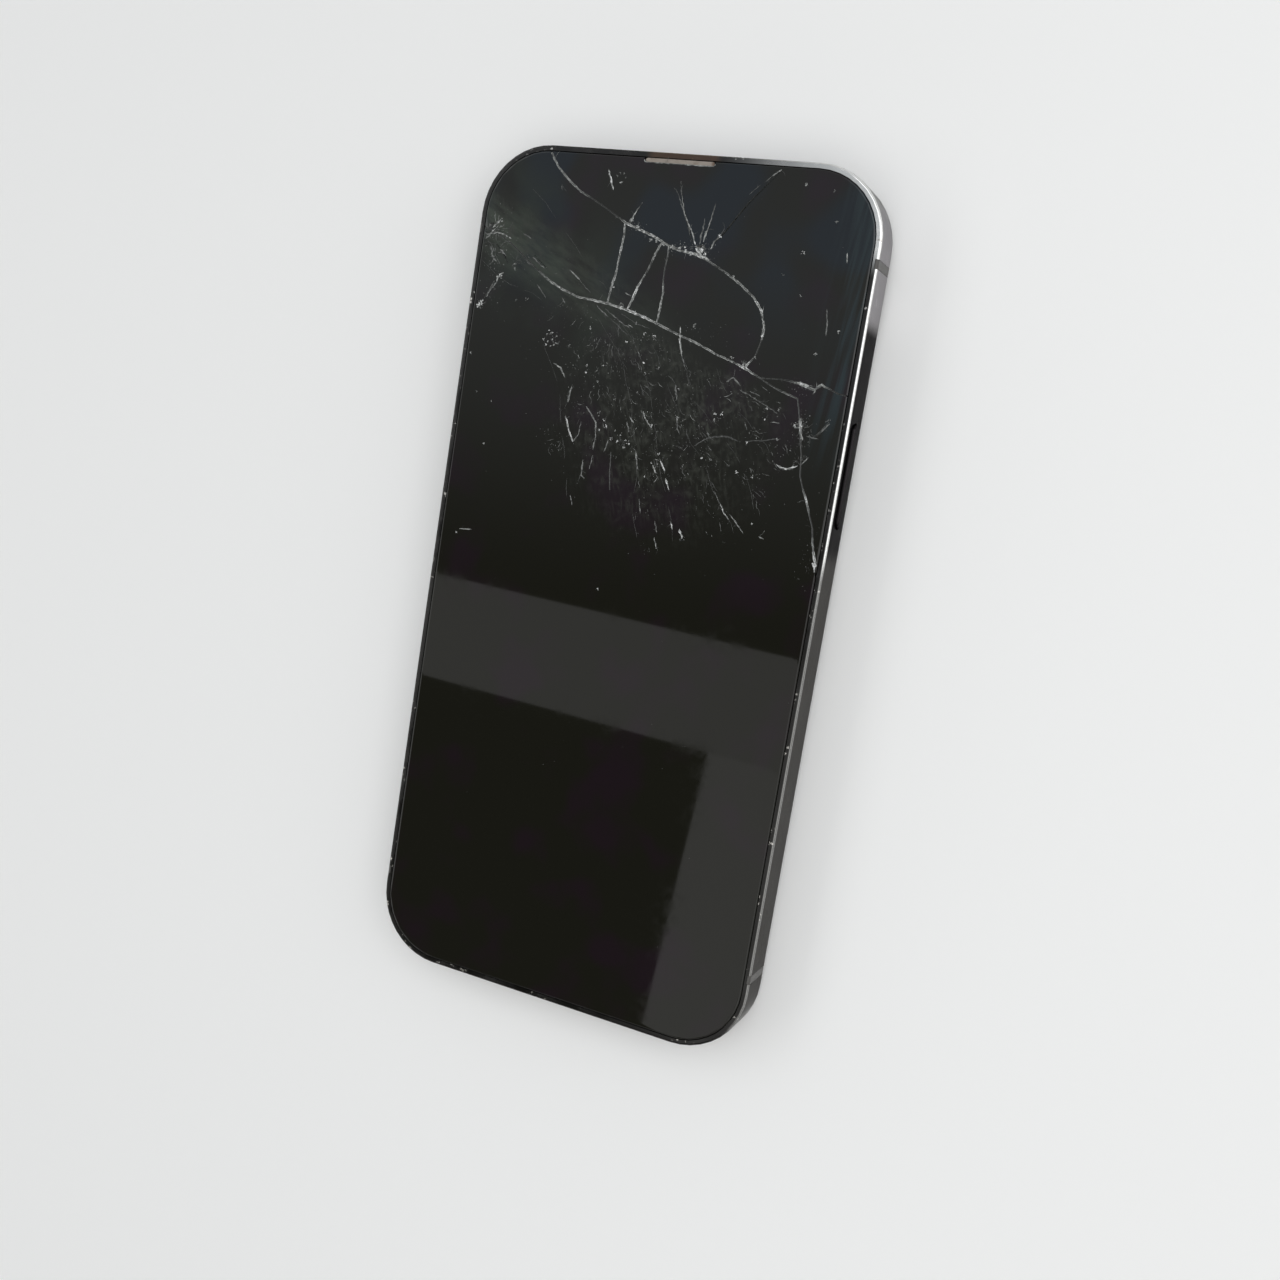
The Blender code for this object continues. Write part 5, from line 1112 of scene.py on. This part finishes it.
def resting_plane():
    """The plane that the phone rests on: the face of its hull below its middle."""
    bm = bmesh.new()
    for node in NODES.values():
        for vertex in node.data.vertices:
            if vertex.co.z < BAND_MIDDLE:
                bm.verts.new(vertex.co)
    bmesh.ops.remove_doubles(bm, verts=bm.verts, dist=1e-5)
    hull = bmesh.ops.convex_hull(bm, input=bm.verts)["geom"]
    middle = Vector((0, 0, BAND_MIDDLE))
    planes = []
    for face in (f for f in hull if isinstance(f, bmesh.types.BMFace)):
        normal = face.normal if face.normal.z > 0 else -face.normal
        if normal.z >= NEARLY_LEVEL and face.calc_center_median().z <= BAND_MIDDLE / 2:
            foot = middle - normal * (middle - face.verts[0].co).dot(normal)
            planes.append((normal.copy(), foot))
    bm.free()
    return min(planes, key=lambda plane: (plane[1] - middle).length)


def make_floor(finish):
    normal, foot = resting_plane()
    bm = bmesh.new()
    bmesh.ops.create_grid(bm, x_segments=1, y_segments=1, size=FLOOR_SIZE / 2)
    floor = mesh_object("floor", bm, [finish])
    floor.matrix_world = (Matrix.Translation(foot)
                          @ normal.to_track_quat("Z", "Y").to_matrix().to_4x4())


def add_area_light(name, place, turn, size, level):
    """A flat softbox whose own brightness is the level."""
    light = bpy.data.lights.new(name, "AREA")
    light.shape = "RECTANGLE"
    light.size, light.size_y = size
    light.energy = level * math.pi * size[0] * size[1]
    made = placed(name, light)
    made.matrix_world = Matrix.Translation(place) @ turn.to_4x4()
    made.visible_camera = False


def make_lights():
    for name, (level, left, right, near, far, height, turn) in SOFTBOXES.items():
        add_area_light(name, Vector(((left + right) / 2, (near + far) / 2, height)),
                       Matrix.Rotation(math.radians(turn), 3, "Z"), (right - left, far - near),
                       level)
    aim = (SIDE_LIGHT_AIM - SIDE_LIGHT_PLACE).to_track_quat("-Z", "Y").to_matrix()
    add_area_light("side_softbox", SIDE_LIGHT_PLACE, aim, SIDE_LIGHT_SIZE, SIDE_LIGHT_LEVEL)


def make_world():
    """A plain studio: pale at the horizon, and dimmer overhead behind the charging end."""
    world = bpy.data.worlds.new("studio")
    s = NodeTree(world, "Background", "Generated")
    overhead = s.mix(s.ramp("Y", -0.12, 0.15), WORLD_DIM, WORLD_BRIGHT)
    s.give("Color", s.mix(s.ramp("Z", 0.15, 0.45), WORLD_HORIZON, overhead))
    bpy.context.scene.world = world


def make_camera():
    camera = bpy.data.cameras.new("camera")
    camera.sensor_width = SENSOR_WIDTH
    camera.lens = SENSOR_WIDTH * FOCAL_PIXELS / IMAGE_SIZE
    camera.clip_start = 0.005
    made = placed("camera", camera)
    ahead = CAMERA_RIGHT.cross(CAMERA_DOWN)
    turn = Matrix((CAMERA_RIGHT, -CAMERA_DOWN, -ahead)).transposed()
    made.matrix_world = Matrix.Translation(CAMERA_PLACE) @ turn.to_4x4()
    bpy.context.scene.camera = made


def make_finishes():
    """One material for each slot in the record."""
    black = moulded("camera_black", (0.01, 0.01, 0.011), (0.022, 0.022, 0.024), 0.35)
    return {
        "polished_steel": polished_steel(),
        "antenna_plastic": antenna_plastic(),
        "cover_glass": cover_glass(),
        "rear_glass": rear_glass(),
        "lens_glass": lens_glass(),
        "camera_black": black,
        "black_plastic": moulded("black_plastic", (0.018, 0.018, 0.019), (0.04, 0.04, 0.042)),
        "panel": panel_black(),
        "seal": moulded("black_seal", (0.012, 0.012, 0.012), (0.03, 0.03, 0.03), 0.75),
        "speaker_mesh": woven_mesh(),
        "bare_steel": bare_steel(),
        "board": solder_mask(),
        "copper": wound_copper(node_centre("charging_coil")),
        "magnet": magnets(),
        "ferrite": moulded("ferrite", (0.035, 0.035, 0.038), (0.065, 0.065, 0.07), 0.6),
        "battery_wrap": battery_wrap(),
        "flex": flex_film(),
        "flash": flash_window(node_centre("flash_lens")),
    }


def dress_nodes(finishes):
    """Every CAD node gets its finish, and what shows gets smooth shading and soft edges."""
    for node, shown in NODES.items():
        finish = finishes[slot_of(node)]
        shown.data.materials.clear()
        shown.data.materials.append(finish)
        if node in SOFT_EDGES:
            refined(node, finish, SOFT_EDGES[node] * MM)


def main():
    bpy.context.scene.view_settings.view_transform = "Standard"
    make_camera()
    make_world()
    make_lights()
    make_floor(floor_finish())
    finishes = make_finishes()
    shades = [fracture(name, level) for name, level in FRACTURE_SHADES.items()]
    dress_nodes(finishes)
    for node in GLASS_NODES:
        make_glass_piece(node, finishes["cover_glass"], shades)
    for name, (seed, fill) in MARKS.items():
        make_marks(name, seed, fill, shades)
    make_lens_insides(lens_element(), finishes["camera_black"])
    make_port_contacts(gold_contacts())


main()
